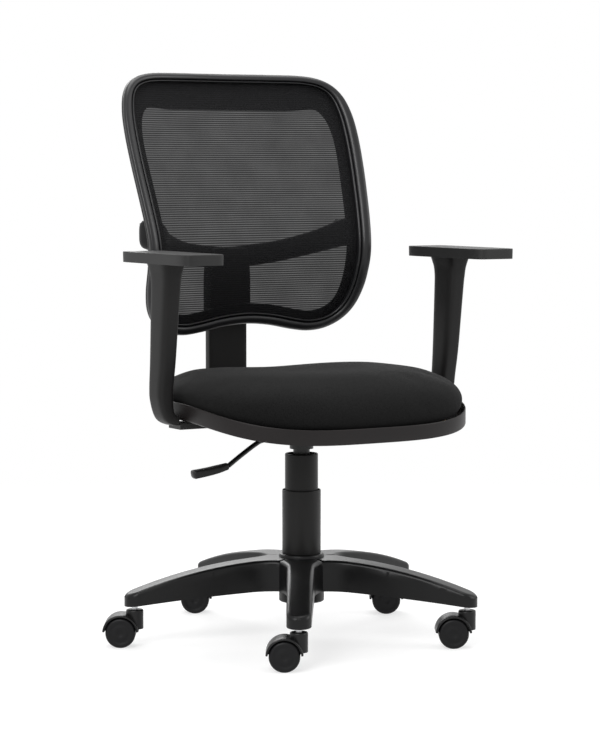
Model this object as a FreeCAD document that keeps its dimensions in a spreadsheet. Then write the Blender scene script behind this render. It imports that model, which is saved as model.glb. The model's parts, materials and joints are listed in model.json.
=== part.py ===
import FreeCAD, Part
import math
import os
import re
import Sketcher
from FreeCAD import Placement, Rotation, Vector

# Swivel office chair.  Millimetres.  +Z up, the sitter faces -Y, the sitter's left is +X.
# The origin is on the floor, on the axis of the gas column.

SIZES = {
    # five-star base
    "arm_count": 5, "arm_turn": -121.8, "arm_length": 306, "arm_tip_width": 40, "arm_root_width": 46,
    "web_radius": 62, "web_run": 34, "star_wall": 4, "hub_radius": 38, "hub_top": 143, "hub_bottom": 62,
    "arch_top_root": 137, "arch_top_mid": 124, "arch_top_tip": 85,
    "arch_low_root": 87, "arch_low_mid": 79, "arch_low_tip": 67,
    # casters
    "stem_circle": 289, "axle_turn": 59, "wheel_radius": 25, "wheel_width": 17, "wheel_gap": 6,
    "caster_trail": 22.7, "axle_radius": 3, "stem_radius": 5, "stem_top": 84, "hood_top": 62,
    "hood_radius": 30, "hood_room": 1.4, "hood_web": 5.6, "block_radius": 14.5,
    "cap_thick": 2, "fit_gap": 0.05,
    # gas column and its covers
    "tube_radius": 25, "tube_bottom": 66, "tube_top": 300, "tube_wall": 1.5, "bush_length": 60,
    "lift_travel": 100, "cylinder_radius": 14, "cylinder_bottom": 118, "cylinder_top": 350, "rod_radius": 5,
    "lower_cover_radius": 32.5, "lower_cover_top": 251, "upper_cover_radius": 27.8,
    "upper_cover_bottom": 176, "upper_cover_top": 312, "cover_wall": 1.5, "slide_gap": 0.4,
    "pin_radius": 2.5, "pin_top": 354.4, "pin_length": 11,
    # seat fixing plate with its socket
    "plate_half": 92, "plate_top": 377.7, "plate_thick": 4, "channel_half": 55, "channel_back": 34,
    "channel_bottom": 340, "channel_wall": 3, "socket_radius": 20, "socket_bottom": 320,
    "bolt_radius": 3, "bolt_spread": 78, "hole_gap": 0.2,
    # lever
    "lever_radius": 4, "pivot_radius": 3, "lever_pivot_x": 59, "lever_pivot_y": -62,
    "lever_pivot_z": 349, "lever_out": 118, "lug_spread": 28, "lug_thick": 5,
    "paddle_in": 186, "paddle_out": 246, "paddle_thick": 14, "paddle_width": 26,
    # seat
    "seat_half_width": 246, "seat_half_depth": 219, "seat_centre_y": -12, "seat_power": 3.3,
    "pan_height": 378, "pan_share": 0.45, "shell_wall": 3, "board_thick": 10, "soft_gap": 0.3,
    "rim_front": 375, "rim_side": 411, "rim_turn_y": 4, "rim_curve": 2, "rim_depth": 31,
    "crown_height": 457, "board_share": 0.88,
    # back bar
    "bar_width": 60, "bar_thick": 8, "bar_front_y": 254, "bar_top": 640, "bar_bend": 34,
    "bar_start_y": 40, "cover_width": 76, "cover_depth": 17, "bar_cover_low": 412,
    "bar_cover_high": 600,
    # back
    "lumbar_z": 650, "lumbar_y": 122, "lean_up": 0.40, "lean_down": 0.45, "knee": 40,
    "bow_low": 20, "bow_high": 40, "back_low": 501, "back_high": 957, "back_half": 228,
    "rim_front_out": 6, "rim_back_out": 6, "mesh_thick": 1.2, "frame_thick": 12, "skin_gap": 0.2,
    "rim_band_side": 23, "rim_band_top": 15, "rim_band_low": 20,
    "frame_band_side": 38, "frame_band_top": 64, "frame_band_low": 36,
    "spine_half": 41, "spine_front_y": 238, "spine_back_y": 271, "spine_low": 515, "spine_high": 652,
    "wing_end": 205,
    # arms
    "post_x": 275, "post_top_y": -36, "post_low_y": -16, "post_thick": 28, "post_width": 48,
    "post_head_z": 638, "pad_top": 655, "pad_front_y": -175, "pad_back_y": 50, "pad_in_x": 240,
    "pad_out_x": 315, "pad_corner": 11, "elbow_low": 374, "elbow_in_x": 250, "bracket_thick": 10,
    "bracket_in_x": 125, "bracket_half": 20,
}

# Right half of the back's outline, seen from the front: share of half width, share of height.
BACK_OUTLINE = [(0.0, 0.992), (0.40, 0.992), (0.68, 0.988), (0.84, 0.966), (0.938, 0.92), (0.988, 0.85),
                (1.004, 0.76), (0.998, 0.64), (0.978, 0.50), (0.958, 0.37), (0.950, 0.26), (0.936, 0.175),
                (0.892, 0.102), (0.81, 0.050), (0.69, 0.017), (0.55, 0.006), (0.40, 0.014), (0.20, 0.033)]

doc = FreeCAD.newDocument("chair")
sheet = doc.addObject("Spreadsheet::Sheet", "dims")
for row, (alias, value) in enumerate(SIZES.items(), start=1):
    sheet.set("A%d" % row, alias)
    sheet.set("B%d" % row, str(value))
    sheet.setAlias("B%d" % row, alias)
doc.recompute()

parts = []


def bound(text):
    """Write an expression of plain size names as one that reads the sheet."""
    def to_cell(match):
        word = match.group()
        return "dims." + word if word in SIZES else word
    return re.sub(r"[A-Za-z_][A-Za-z_0-9]*", to_cell, text)


def size(text):
    """Value of an expression of size names."""
    return float(sheet.evalExpression(bound(text)))


def bind(item, **sizes):
    """Bind properties of an object to expressions of size names."""
    for name, text in sizes.items():
        item.setExpression(name.replace("__", "."), bound(text))
    return item


def place(item, x="0", y="0", z="0"):
    """Bind where an object stands."""
    return bind(item, Placement__Base__x=x, Placement__Base__y=y, Placement__Base__z=z)


def part(item, label):
    """Name a finished sub-part, which is then exported."""
    item.Label = label
    parts.append(item)
    return item


def box(x0, x1, y0, y1, z0, z1):
    """Box between six expressions."""
    item = doc.addObject("Part::Box", "box")
    bind(item, Length="(%s)-(%s)" % (x1, x0), Width="(%s)-(%s)" % (y1, y0), Height="(%s)-(%s)" % (z1, z0))
    return place(item, x0, y0, z0)


def rod(radius, low, high, x="0", y="0"):
    """Upright cylinder between two heights."""
    item = doc.addObject("Part::Cylinder", "rod")
    bind(item, Radius=radius, Height="(%s)-(%s)" % (high, low))
    return place(item, x, y, low)


def axle(radius, x0, x1, y, z):
    """Cylinder along X."""
    item = doc.addObject("Part::Cylinder", "axle")
    item.Placement = Placement(Vector(), Rotation(Vector(0, 1, 0), 90))
    bind(item, Radius=radius, Height="(%s)-(%s)" % (x1, x0))
    return place(item, x0, y, z)


def cross_pin(radius):
    """Cylinder along Y on the lever's pivot, as long as the lugs stand apart."""
    item = doc.addObject("Part::Cylinder", "cross_pin")
    item.Placement = Placement(Vector(), Rotation(Vector(1, 0, 0), -90))
    bind(item, Radius=radius, Height="lug_spread")
    return place(item, "-lever_pivot_x", "lever_pivot_y - lug_spread / 2", "lever_pivot_z")


def cut(base, tool):
    item = doc.addObject("Part::Cut", "cut")
    item.Base = base
    item.Tool = tool
    return item


def fuse(*shapes):
    item = doc.addObject("Part::MultiFuse", "fuse")
    item.Shapes = list(shapes)
    return item


def group(*shapes):
    """Separate solids that share one node."""
    item = doc.addObject("Part::Compound", "group")
    item.Links = list(shapes)
    return item


def shaped(label, shape):
    """Sub-part whose shape is worked out here from the sheet."""
    item = doc.addObject("Part::Feature", label)
    item.Shape = shape
    return item


def body_sketch(label, role, corners):
    """Body with one closed sketch whose corners are bound to the sheet."""
    body = doc.addObject("PartDesign::Body", label + "_body")
    sketch = body.newObject("Sketcher::SketchObject", label + "_outline")
    plane = [f for f in body.Origin.OriginFeatures if f.Role == role][0]
    sketch.AttachmentSupport = [(plane, "")]
    sketch.MapMode = "FlatFace"
    spots = [Vector(size(a), size(b), 0) for a, b in corners]
    count = len(spots)
    for index in range(count):
        sketch.addGeometry(Part.LineSegment(spots[index], spots[(index + 1) % count]))
    for index in range(count):
        sketch.addConstraint(Sketcher.Constraint("Coincident", index, 2, (index + 1) % count, 1))
    for index, corner in enumerate(corners):
        for kind, text in zip(("DistanceX", "DistanceY"), corner):
            number = sketch.addConstraint(Sketcher.Constraint(kind, -1, 1, index, 1, size(text)))
            sketch.setExpression("Constraints[%d]" % number, bound(text))
    return body, sketch


def turned(label, corners):
    """Body turned about its own Z axis; corners are (radius, height)."""
    body, sketch = body_sketch(label, "XZ_Plane", corners)
    turn = body.newObject("PartDesign::Revolution", label + "_turn")
    turn.Profile = sketch
    turn.ReferenceAxis = (sketch, ["V_Axis"])
    turn.Angle = 360
    return body


def plate(label, role, corners, length):
    """Body padded both ways from a plane; length is the whole thickness."""
    body, sketch = body_sketch(label, role, corners)
    pad = body.newObject("PartDesign::Pad", label + "_pad")
    pad.Profile = sketch
    bind(pad, Length=length)
    pad.Midplane = True
    return body, pad


def closed_curve(points):
    curve = Part.BSplineCurve()
    curve.interpolate(Points=points, PeriodicFlag=True)
    return curve


def rounded_section(centre, across, along, width, depth, corner):
    """Closed wire of a rectangle with round corners, in the plane of two unit vectors."""
    half_w = width / 2
    half_d = depth / 2
    corners = [(1, 1), (-1, 1), (-1, -1), (1, -1)]
    ends = []
    for index, (sx, sy) in enumerate(corners):
        middle = centre + across * (sx * (half_w - corner)) + along * (sy * (half_d - corner))
        start = middle + (across * (sx * corner) if index % 2 == 0 else along * (sy * corner))
        stop = middle + (along * (sy * corner) if index % 2 == 0 else across * (sx * corner))
        bulge = middle + (across * sx + along * sy) * (corner * math.sqrt(0.5))
        ends.append((start, bulge, stop))
    edges = []
    for index in range(4):
        start, bulge, stop = ends[index]
        edges.append(Part.Arc(start, bulge, stop).toShape())
        edges.append(Part.LineSegment(stop, ends[(index + 1) % 4][0]).toShape())
    return Part.Wire(edges)


# ---------------------------------------------------------------- base

def arch(low):
    """Points (radius, height) of the arms' top or bottom curve."""
    names = ("arch_low_root", "arch_low_mid", "arch_low_tip") if low else (
        "arch_top_root", "arch_top_mid", "arch_top_tip")
    root, middle, tip = [size(name) for name in names]
    length = size("arm_length")
    return [Vector(0, 0, root), Vector(0.57 * length, 0, middle), Vector(length + 5, 0, tip)]


def arch_solid(low, high):
    """Solid of revolution between two curves, each three points."""
    under = Part.Arc(*low).toShape()
    over = Part.Arc(*high).toShape()
    rim = Part.makeLine(low[2], high[2])
    hub = Part.makeLine(high[0], low[0])
    face = Part.Face(Part.Wire([under, rim, over, hub]))
    return face.revolve(Vector(), Vector(0, 0, 1), 360)


def star_face(inset, reach):
    """Plan of the star, pulled in by an inset, with arms that end at a reach."""
    count = int(size("arm_count"))
    tip = size("arm_tip_width") / 2 - inset
    root = size("arm_root_width") / 2 - inset
    near = size("web_radius + web_run")
    edges = []
    for index in range(count):
        angle = math.radians(size("arm_turn") + index * 360 / count)
        along = Vector(math.cos(angle), math.sin(angle), 0)
        side = Vector(-along.y, along.x, 0)
        next_angle = angle + 2 * math.pi / count
        next_along = Vector(math.cos(next_angle), math.sin(next_angle), 0)
        next_side = Vector(-next_along.y, next_along.x, 0)
        web = Vector(math.cos(angle + math.pi / count), math.sin(angle + math.pi / count), 0)
        right_root = along * near - side * root
        right_tip = along * (reach - tip) - side * tip
        left_tip = along * (reach - tip) + side * tip
        left_root = along * near + side * root
        edges.append(Part.makeLine(right_root, right_tip))
        edges.append(Part.Arc(right_tip, along * reach, left_tip).toShape())
        edges.append(Part.makeLine(left_tip, left_root))
        hollow = web * (size("web_radius") - inset)
        edges.append(Part.Arc(left_root, hollow, next_along * near - next_side * root).toShape())
    return Part.Face(Part.Wire(edges))


def base_star():
    """Arched arms hollow from below with cross ribs, a hub with the column's socket, and stem sockets."""
    tall = size("hub_top") + 10
    up = Vector(0, 0, tall)
    arms = star_face(0, size("arm_length")).extrude(up).common(arch_solid(arch(True), arch(False)))
    roof = [point - Vector(0, 0, size("star_wall")) for point in arch(False)]
    under = [point - Vector(0, 0, 20) for point in arch(True)]
    room = arch_solid(under, roof)
    hollow = star_face(size("star_wall"), size("stem_circle") - 14).extrude(up).common(room)
    ribs = [Part.makeCylinder(radius + 4, tall).cut(Part.makeCylinder(radius, tall))
            for radius in (110, 155, 200, 240)]
    hollow = hollow.cut(Part.makeCompound(ribs)).cut(Part.makeCylinder(size("hub_radius") + 22, tall))
    star = arms.cut(hollow)
    hub_height = size("hub_top - hub_bottom")
    hub = Part.makeCylinder(size("hub_radius"), hub_height, Vector(0, 0, size("hub_bottom")))
    star = star.fuse(hub)
    socket = Part.makeCylinder(size("tube_radius + fit_gap"), 200, Vector(0, 0, size("tube_bottom")))
    star = star.cut(socket).cut(Part.makeCylinder(12, 200))
    for turn in stem_turns():
        spot = Vector(size("stem_circle"), 0, 0)
        hole = Part.makeCylinder(size("stem_radius + fit_gap"), size("stem_top"), spot)
        hole.rotate(Vector(), Vector(0, 0, 1), turn)
        star = star.cut(hole)
    return star.removeSplitter()


def stem_turns():
    """Direction of each arm about +Z, in degrees; the first points forward and right."""
    step = 360 / size("arm_count")
    return [size("arm_turn") + index * step for index in range(int(size("arm_count")))]


def caster(number):
    """Hood, pins and two wheels, made at the origin and then set under one arm's end."""
    name = "caster_%d_" % number
    inner = "wheel_gap"
    outer = "wheel_gap + wheel_width"
    trail = "caster_trail"
    height = "wheel_radius"
    fender = axle("hood_radius", "-(%s)" % outer, outer, trail, height)
    below = box("-40", "40", "-60", "80", "-40", "wheel_radius + 2")
    block = rod("block_radius", "wheel_radius + 2", "hood_top")
    hood = fuse(cut(fender, below), block)
    for start, stop in (("hood_web", "40"), ("-40", "-hood_web")):
        hood = cut(hood, axle("wheel_radius + hood_room", start, stop, trail, height))
    web = axle("wheel_radius - 6", "-hood_web", "hood_web", trail, height)
    hood = cut(fuse(hood, web), axle("axle_radius", "-40", "40", trail, height))
    hood = cut(hood, rod("stem_radius", "wheel_radius + 12", "200"))
    stem = rod("stem_radius", "wheel_radius + 12", "stem_top")
    reach = outer + " - cap_thick - 0.3"
    pin = axle("axle_radius", "-(%s)" % reach, reach, trail, height)
    items = [part(hood, name + "hood"), part(group(stem, pin), name + "pins")]
    for side, sign in (("a", "-1"), ("b", "1")):
        corners = [("axle_radius + fit_gap", inner), ("wheel_radius - 1.5", inner),
                   ("wheel_radius", "wheel_gap + 2"), ("wheel_radius", "wheel_gap + wheel_width - 5"),
                   ("wheel_radius - 2.5", "wheel_gap + wheel_width - 1.5"),
                   ("wheel_radius - 6", outer), ("0", outer), ("0", outer + " - cap_thick"),
                   ("axle_radius + fit_gap", outer + " - cap_thick")]
        wheel = turned(name + "wheel_" + side, corners)
        wheel.Placement = Placement(Vector(), Rotation(Vector(0, 1, 0), 90 * float(sign)))
        place(wheel, "0", trail, height)
        items.append(part(group(wheel), name + "wheel_" + side))
    return items


def set_caster(items, turn):
    """Turn a caster so that its axle lies along the common direction, under its arm."""
    reach = size("stem_circle")
    spot = Vector(reach * math.cos(math.radians(turn)), reach * math.sin(math.radians(turn)), 0)
    for item in items:
        frame = Placement(spot, Rotation(Vector(0, 0, 1), size("axle_turn")))
        item.Placement = frame.multiply(item.Placement)


def gas_column():
    """Standpipe in the hub, guide bush, thrust bearing, rod, gas cylinder and two covers."""
    low = "tube_bottom"
    inner = "tube_radius - tube_wall"
    head = "cylinder_bottom + 8 + lift_travel + 5"
    part(turned("gas_lift_tube", [("12", low), ("tube_radius", low), ("tube_radius", "tube_top"),
                                  (inner, "tube_top"), (inner, "tube_bottom + 3"),
                                  ("12", "tube_bottom + 3")]), "gas_lift_tube")
    bush_low = "tube_top - bush_length"
    part(turned("tube_guide_bush", [("cylinder_radius + fit_gap", bush_low), (inner, bush_low),
                                    (inner, "tube_top"), ("cylinder_radius + fit_gap", "tube_top")]),
         "tube_guide_bush")
    part(turned("thrust_bearing", [("rod_radius + fit_gap", "tube_bottom + 3"), ("18", "tube_bottom + 3"),
                                   ("18", "tube_bottom + 9"), ("rod_radius + fit_gap", "tube_bottom + 9")]),
         "thrust_bearing")
    part(turned("piston_rod", [("0", "tube_bottom - 2"), ("rod_radius", "tube_bottom - 2"),
                               ("rod_radius", "tube_bottom + 9.3"), ("9", "tube_bottom + 9.3"),
                               ("9", "tube_bottom + 13"), ("rod_radius", "tube_bottom + 13"),
                               ("rod_radius", head), ("10", head), ("10", head + " + 10"),
                               ("0", head + " + 10")]), "piston_rod")
    part(turned("gas_lift_cylinder", [("rod_radius + fit_gap", "cylinder_bottom"),
                                      ("cylinder_radius", "cylinder_bottom"),
                                      ("cylinder_radius", "cylinder_top"),
                                      ("pin_radius + fit_gap", "cylinder_top"),
                                      ("pin_radius + fit_gap", "pin_top - pin_length - 5"),
                                      ("10.3", "pin_top - pin_length - 9"),
                                      ("10.3", "cylinder_bottom + 8"),
                                      ("rod_radius + fit_gap", "cylinder_bottom + 8")]), "gas_lift_cylinder")
    part(rod("pin_radius", "pin_top - pin_length", "pin_top"), "release_pin")
    part(turned("column_cover_lower", [("tube_radius + slide_gap", "hub_top"),
                                       ("lower_cover_radius", "hub_top"),
                                       ("lower_cover_radius", "lower_cover_top"),
                                       ("lower_cover_radius - cover_wall", "lower_cover_top"),
                                       ("lower_cover_radius - cover_wall", "hub_top + 3"),
                                       ("tube_radius + slide_gap", "hub_top + 3")]), "column_cover_lower")
    bore = "upper_cover_radius - cover_wall"
    collar = "lower_cover_radius - cover_wall - slide_gap"
    part(turned("column_cover_upper", [(bore, "upper_cover_bottom"), (collar, "upper_cover_bottom"),
                                       (collar, "upper_cover_bottom + 2"),
                                       ("upper_cover_radius", "upper_cover_bottom + 2"),
                                       ("upper_cover_radius", "upper_cover_top"),
                                       ("tube_radius + slide_gap", "upper_cover_top"),
                                       ("tube_radius + slide_gap", "upper_cover_top - 2"),
                                       (bore, "upper_cover_top - 2")]), "column_cover_upper")


# ---------------------------------------------------------------- seat plate and lever

def seat_plate():
    """Flat plate under the seat with a channel that carries the column's socket, and its four bolts."""
    top = "plate_top - plate_thick"
    flat = box("-plate_half", "plate_half", "-plate_half", "plate_half", top, "plate_top")
    for x, y in bolt_spots() + bar_bolt_spots():
        flat = cut(flat, rod("bolt_radius + hole_gap", "0", "500", x, y))
    part(flat, "seat_plate")
    half = "channel_half"
    shell = box("-" + half, half, "-plate_half + 8", "channel_back", "channel_bottom", top)
    inner = "channel_half - channel_wall"
    room = box("-(%s)" % inner, inner, "-plate_half + 8 + channel_wall", "channel_back - channel_wall",
               "channel_bottom + channel_wall", "400")
    boss = rod("socket_radius", "socket_bottom", "cylinder_top - 1")
    housing = fuse(cut(shell, room), boss)
    housing = cut(housing, rod("cylinder_radius + fit_gap", "0", "400"))
    slot = box("-90", "-40", "lever_pivot_y - 8", "lever_pivot_y + 12", "lever_pivot_z - 7",
               "lever_pivot_z + 7")
    housing = cut(housing, slot)
    for y in ("lever_pivot_y - lug_spread / 2", "lever_pivot_y + lug_spread / 2 - lug_thick"):
        housing = fuse(housing, box("-lever_pivot_x - 5", "-channel_half", y, y + " + lug_thick",
                                    "lever_pivot_z - 6", "lever_pivot_z + 6"))
    part(cut(housing, cross_pin("pivot_radius + fit_gap")), "mechanism_housing")
    bolts = [fuse(rod("bolt_radius", top + " - 1", "pan_height + shell_wall + board_thick - 1", x, y),
                  rod("bolt_radius * 2", top + " - 4", top, x, y)) for x, y in bolt_spots()]
    part(group(*bolts), "seat_bolts")


def bolt_spots():
    return [(sx + "bolt_spread", sy + "bolt_spread") for sx in ("", "-") for sy in ("", "-")]


def arm_bolt_spots():
    return [(side + "(bracket_in_x + %d)" % step, "post_low_y") for side in ("", "-") for step in (14, 42)]


def capsule(points, radius):
    """Rod of one radius through a few points, round at each bend."""
    shape = None
    for start, stop in zip(points, points[1:]):
        run = stop - start
        piece = Part.makeCylinder(radius, run.Length, start, run)
        piece = piece.fuse(Part.makeSphere(radius, stop))
        shape = piece if shape is None else shape.fuse(piece)
    return shape.fuse(Part.makeSphere(radius, points[0])).removeSplitter()


def lever():
    """Bent rod that presses the release pin, with a flat paddle at its outer end."""
    radius = size("lever_radius")
    y = size("lever_pivot_y")
    z = size("lever_pivot_z")
    tip = Vector(0, 0, size("pin_top") + radius + 0.3)
    knee = Vector(-size("channel_half") + 16, y + 12, z + 6)
    wall = Vector(-size("lever_pivot_x"), y, z)
    out = Vector(-size("lever_out"), y, z - 4)
    grip = Vector(-size("paddle_in"), y - 16, z - 40)
    spread = size("lug_spread")
    pivot = Part.makeCylinder(size("pivot_radius"), spread, wall - Vector(0, spread / 2, 0), Vector(0, 1, 0))
    part(shaped("lever_rod", capsule([tip, knee, wall, out, grip], radius).fuse(pivot)), "lever_rod")
    end = Vector(-size("paddle_out"), y - 6, z - 51)
    run = end - grip
    along = Vector(run.x, run.y, run.z).normalize()
    across = along.cross(Vector(0, 0, 1)).normalize()
    up = across.cross(along)
    thick = size("paddle_thick")
    width = size("paddle_width")
    spots = [(0.0, 0.5, 0.87), (0.35, 1.0, 0.97), (1.0, 0.92, 1.05)]
    wires = [rounded_section(grip + run * share, across, up, width * w, thick * d, thick * d * 0.35)
             for share, w, d in spots]
    paddle = Part.makeLoft(wires, True, False)
    paddle = paddle.cut(Part.makeCylinder(radius + size("skin_gap"), 90, grip - along * 90, along))
    trim = capsule([out, grip], radius + size("skin_gap"))
    part(shaped("lever_paddle", paddle.cut(trim)), "lever_paddle")


# ---------------------------------------------------------------- seat

RING_STEPS = 28


def plan(turn, share):
    """Point on the seat's plan: a superellipse scaled by a share."""
    power = 2 / size("seat_power")
    cosine = math.cos(turn)
    sine = math.sin(turn)
    x = size("seat_half_width") * math.copysign(abs(cosine) ** power, cosine)
    y = size("seat_half_depth") * math.copysign(abs(sine) ** power, sine)
    return share * x, size("seat_centre_y") + share * y


def rim_height(turn):
    """Height of the shell's upper edge: level at the sides and back, falling to the front."""
    y = plan(turn, 1)[1]
    front = size("seat_centre_y") - size("seat_half_depth")
    turn_y = size("rim_turn_y")
    share = max(0.0, (turn_y - y) / (turn_y - front))
    return size("rim_side") - size("rim_side - rim_front") * share ** size("rim_curve")


def floor_height(turn, share):
    """Height of the shell's underside: flat in the middle, then curving to the rim's lower edge."""
    pan = size("pan_height")
    flat = size("pan_share")
    bend = max(0.0, (share - flat) / (1 - flat)) ** 2
    return pan + (rim_height(turn) - size("rim_depth") - pan) * bend


def ring(share, height):
    """Closed curve round the seat at a share of its plan, at heights given by a function of the turn."""
    points = []
    for step in range(RING_STEPS):
        turn = 2 * math.pi * (step + 0.5) / RING_STEPS
        x, y = plan(turn, share)
        points.append(Vector(x, y, height(turn)))
    return Part.Wire([closed_curve(points).toShape()])


def ring_solid(rings):
    return Part.makeLoft([ring(share, height) for share, height in rings], True, True)


def drilled(shape, spots, radius):
    for x, y in spots:
        shape = shape.cut(Part.makeCylinder(radius, 500, Vector(size(x), size(y), 0)))
    return shape


def seat():
    """Plastic shell, plywood board and foam cushion, nested with a small gap."""
    wall = size("shell_wall")
    gap = size("soft_gap")
    board = size("board_thick")
    flat = size("pan_share")
    edge = size("board_share")
    depth = size("rim_depth")
    crown = size("crown_height")
    holes = bolt_spots() + arm_bolt_spots()
    hole = size("bolt_radius + hole_gap")
    shell = ring_solid([
        (flat, lambda t: floor_height(t, flat)), (0.75, lambda t: floor_height(t, 0.75)),
        (0.9, lambda t: floor_height(t, 0.9)), (0.98, lambda t: floor_height(t, 0.98)),
        (1.0, lambda t: rim_height(t) - depth + 5), (1.0, rim_height),
        (0.982, rim_height), (0.978, lambda t: rim_height(t) - depth + 8),
        (0.9, lambda t: floor_height(t, 0.9) + wall), (0.75, lambda t: floor_height(t, 0.75) + wall),
        (flat, lambda t: floor_height(t, flat) + wall)])
    part(shaped("seat_shell", drilled(shell, holes, hole)), "seat_shell")
    low = wall + gap
    ply = ring_solid([
        (flat, lambda t: floor_height(t, flat) + low), (0.75, lambda t: floor_height(t, 0.75) + low),
        (edge, lambda t: floor_height(t, edge) + low), (edge, lambda t: floor_height(t, edge) + low + board),
        (0.75, lambda t: floor_height(t, 0.75) + low + board),
        (flat, lambda t: floor_height(t, flat) + low + board)])
    part(shaped("seat_board", drilled(ply, holes, hole)), "seat_board")
    over = low + board + gap
    foam = ring_solid([
        (flat, lambda t: floor_height(t, flat) + over), (0.75, lambda t: floor_height(t, 0.75) + over),
        (0.9, lambda t: floor_height(t, 0.9) + over), (0.955, lambda t: rim_height(t) - 4),
        (0.96, lambda t: rim_height(t) + gap), (0.99, lambda t: rim_height(t) + 6),
        (1.0, lambda t: rim_height(t) + 0.32 * (crown - rim_height(t))),
        (0.97, lambda t: rim_height(t) + 0.66 * (crown - rim_height(t))),
        (0.87, lambda t: rim_height(t) + 0.90 * (crown - rim_height(t))), (0.6, lambda t: crown)])
    part(shaped("seat_cushion", foam), "seat_cushion")


# ---------------------------------------------------------------- back

def back_bar():
    """Flat steel bar bent upwards behind the seat, its plastic cover and its two bolts."""
    top = "plate_top - plate_thick"
    low = "plate_top - plate_thick - bar_thick"
    far = "bar_front_y + bar_thick"
    corners = [("bar_start_y", low), (far, low), (far, "bar_top"), ("bar_front_y", "bar_top"),
               ("bar_front_y", top), ("bar_start_y", top)]
    body, pad = plate("back_bar", "YZ_Plane", corners, "bar_width")
    doc.recompute()
    bends = []
    for number, edge in enumerate(pad.Shape.Edges, start=1):
        middle = edge.CenterOfMass
        along_x = abs(edge.BoundBox.XLength - size("bar_width")) < 0.01
        if along_x and abs(middle.y - size(far)) < 0.01 and abs(middle.z - size(low)) < 0.01:
            bends.append((number, size("bar_bend + bar_thick"), size("bar_bend + bar_thick")))
        if along_x and abs(middle.y - size("bar_front_y")) < 0.01 and abs(middle.z - size(top)) < 0.01:
            bends.append((number, size("bar_bend"), size("bar_bend")))
    rounded = doc.addObject("Part::Fillet", "back_bar_bends")
    rounded.Base = body
    rounded.Edges = bends
    bar = rounded
    for x, y in bar_bolt_spots():
        bar = cut(bar, rod("bolt_radius + hole_gap", "300", "400", x, y))
    part(bar, "back_bar")
    sleeve = box("-cover_width / 2", "cover_width / 2", "bar_front_y + bar_thick / 2 - cover_depth / 2",
                 "bar_front_y + bar_thick / 2 + cover_depth / 2", "bar_cover_low", "bar_cover_high")
    room = box("-bar_width / 2 - skin_gap", "bar_width / 2 + skin_gap", "bar_front_y - skin_gap",
               "bar_front_y + bar_thick + skin_gap", "0", "700")
    part(cut(sleeve, room), "back_bar_cover")


def bar_bolt_spots():
    return [("0", "bar_start_y + 12"), ("0", "bar_start_y + 40")]


def edge_y(z):
    """Depth of the back's side edge at a height: two leaning lines with a round knee at the lumbar."""
    step = z - size("lumbar_z")
    lean = size("lean_up") if step > 0 else size("lean_down")
    knee = size("knee")
    return size("lumbar_y") + lean * (math.sqrt(step * step + knee * knee) - knee)


def bow(z):
    """How far the middle of the back lies behind its side edges."""
    share = (z - size("back_low")) / size("back_high - back_low")
    return size("bow_low") + size("bow_high - bow_low") * share


def back_slab(front, behind):
    """Curved slab between two depths behind the back's front surface."""
    half = size("back_half") + 6
    wires = []
    low = size("back_low") - 12
    high = size("back_high") + 12
    count = 13
    for index in range(count):
        z = low + (high - low) * index / (count - 1)
        side = edge_y(z)
        middle = side + bow(z)
        corners = ((-1, front), (1, front), (1, behind), (-1, behind))
        ends = [Vector(sign * half, side + depth, z) for sign, depth in corners]
        near = Part.Arc(ends[0], Vector(0, middle + front, z), ends[1]).toShape()
        far = Part.Arc(ends[2], Vector(0, middle + behind, z), ends[3]).toShape()
        wires.append(Part.Wire([near, Part.makeLine(ends[1], ends[2]), far, Part.makeLine(ends[3], ends[0])]))
    return Part.makeLoft(wires, True, False)


def back_outline(side, top, low):
    """Outline of the back pulled in by amounts that differ at its sides, top and bottom."""
    half = size("back_half")
    height = size("back_high - back_low")
    points = [Vector(half * x, 0, size("back_low") + height * z) for x, z in BACK_OUTLINE]
    points.append(Vector(0, 0, size("back_low") + height * 0.041))
    mirrored = [Vector(-p.x, 0, p.z) for p in reversed(points[1:-1])]
    curve = closed_curve(points + mirrored)
    steps = 44
    inset = []
    first = curve.FirstParameter
    span = curve.LastParameter - first
    for index in range(steps):
        at = first + span * index / steps
        along = Vector(*curve.tangent(at)[0])
        inward = Vector(-along.z, 0, along.x)
        if inward.dot(Vector(0, 0, (size("back_low") + size("back_high")) / 2) - curve.value(at)) < 0:
            inward = inward * -1
        pull = side + (top - side) * max(0.0, -inward.z) ** 2 + (low - side) * max(0.0, inward.z) ** 2
        inset.append(curve.value(at) + inward * pull)
    return Part.Face(Part.Wire([closed_curve(inset).toShape()]))


def through(face):
    """Extrude an outline of the back right through its depth."""
    return face.extrude(Vector(0, 400, 0))


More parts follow.
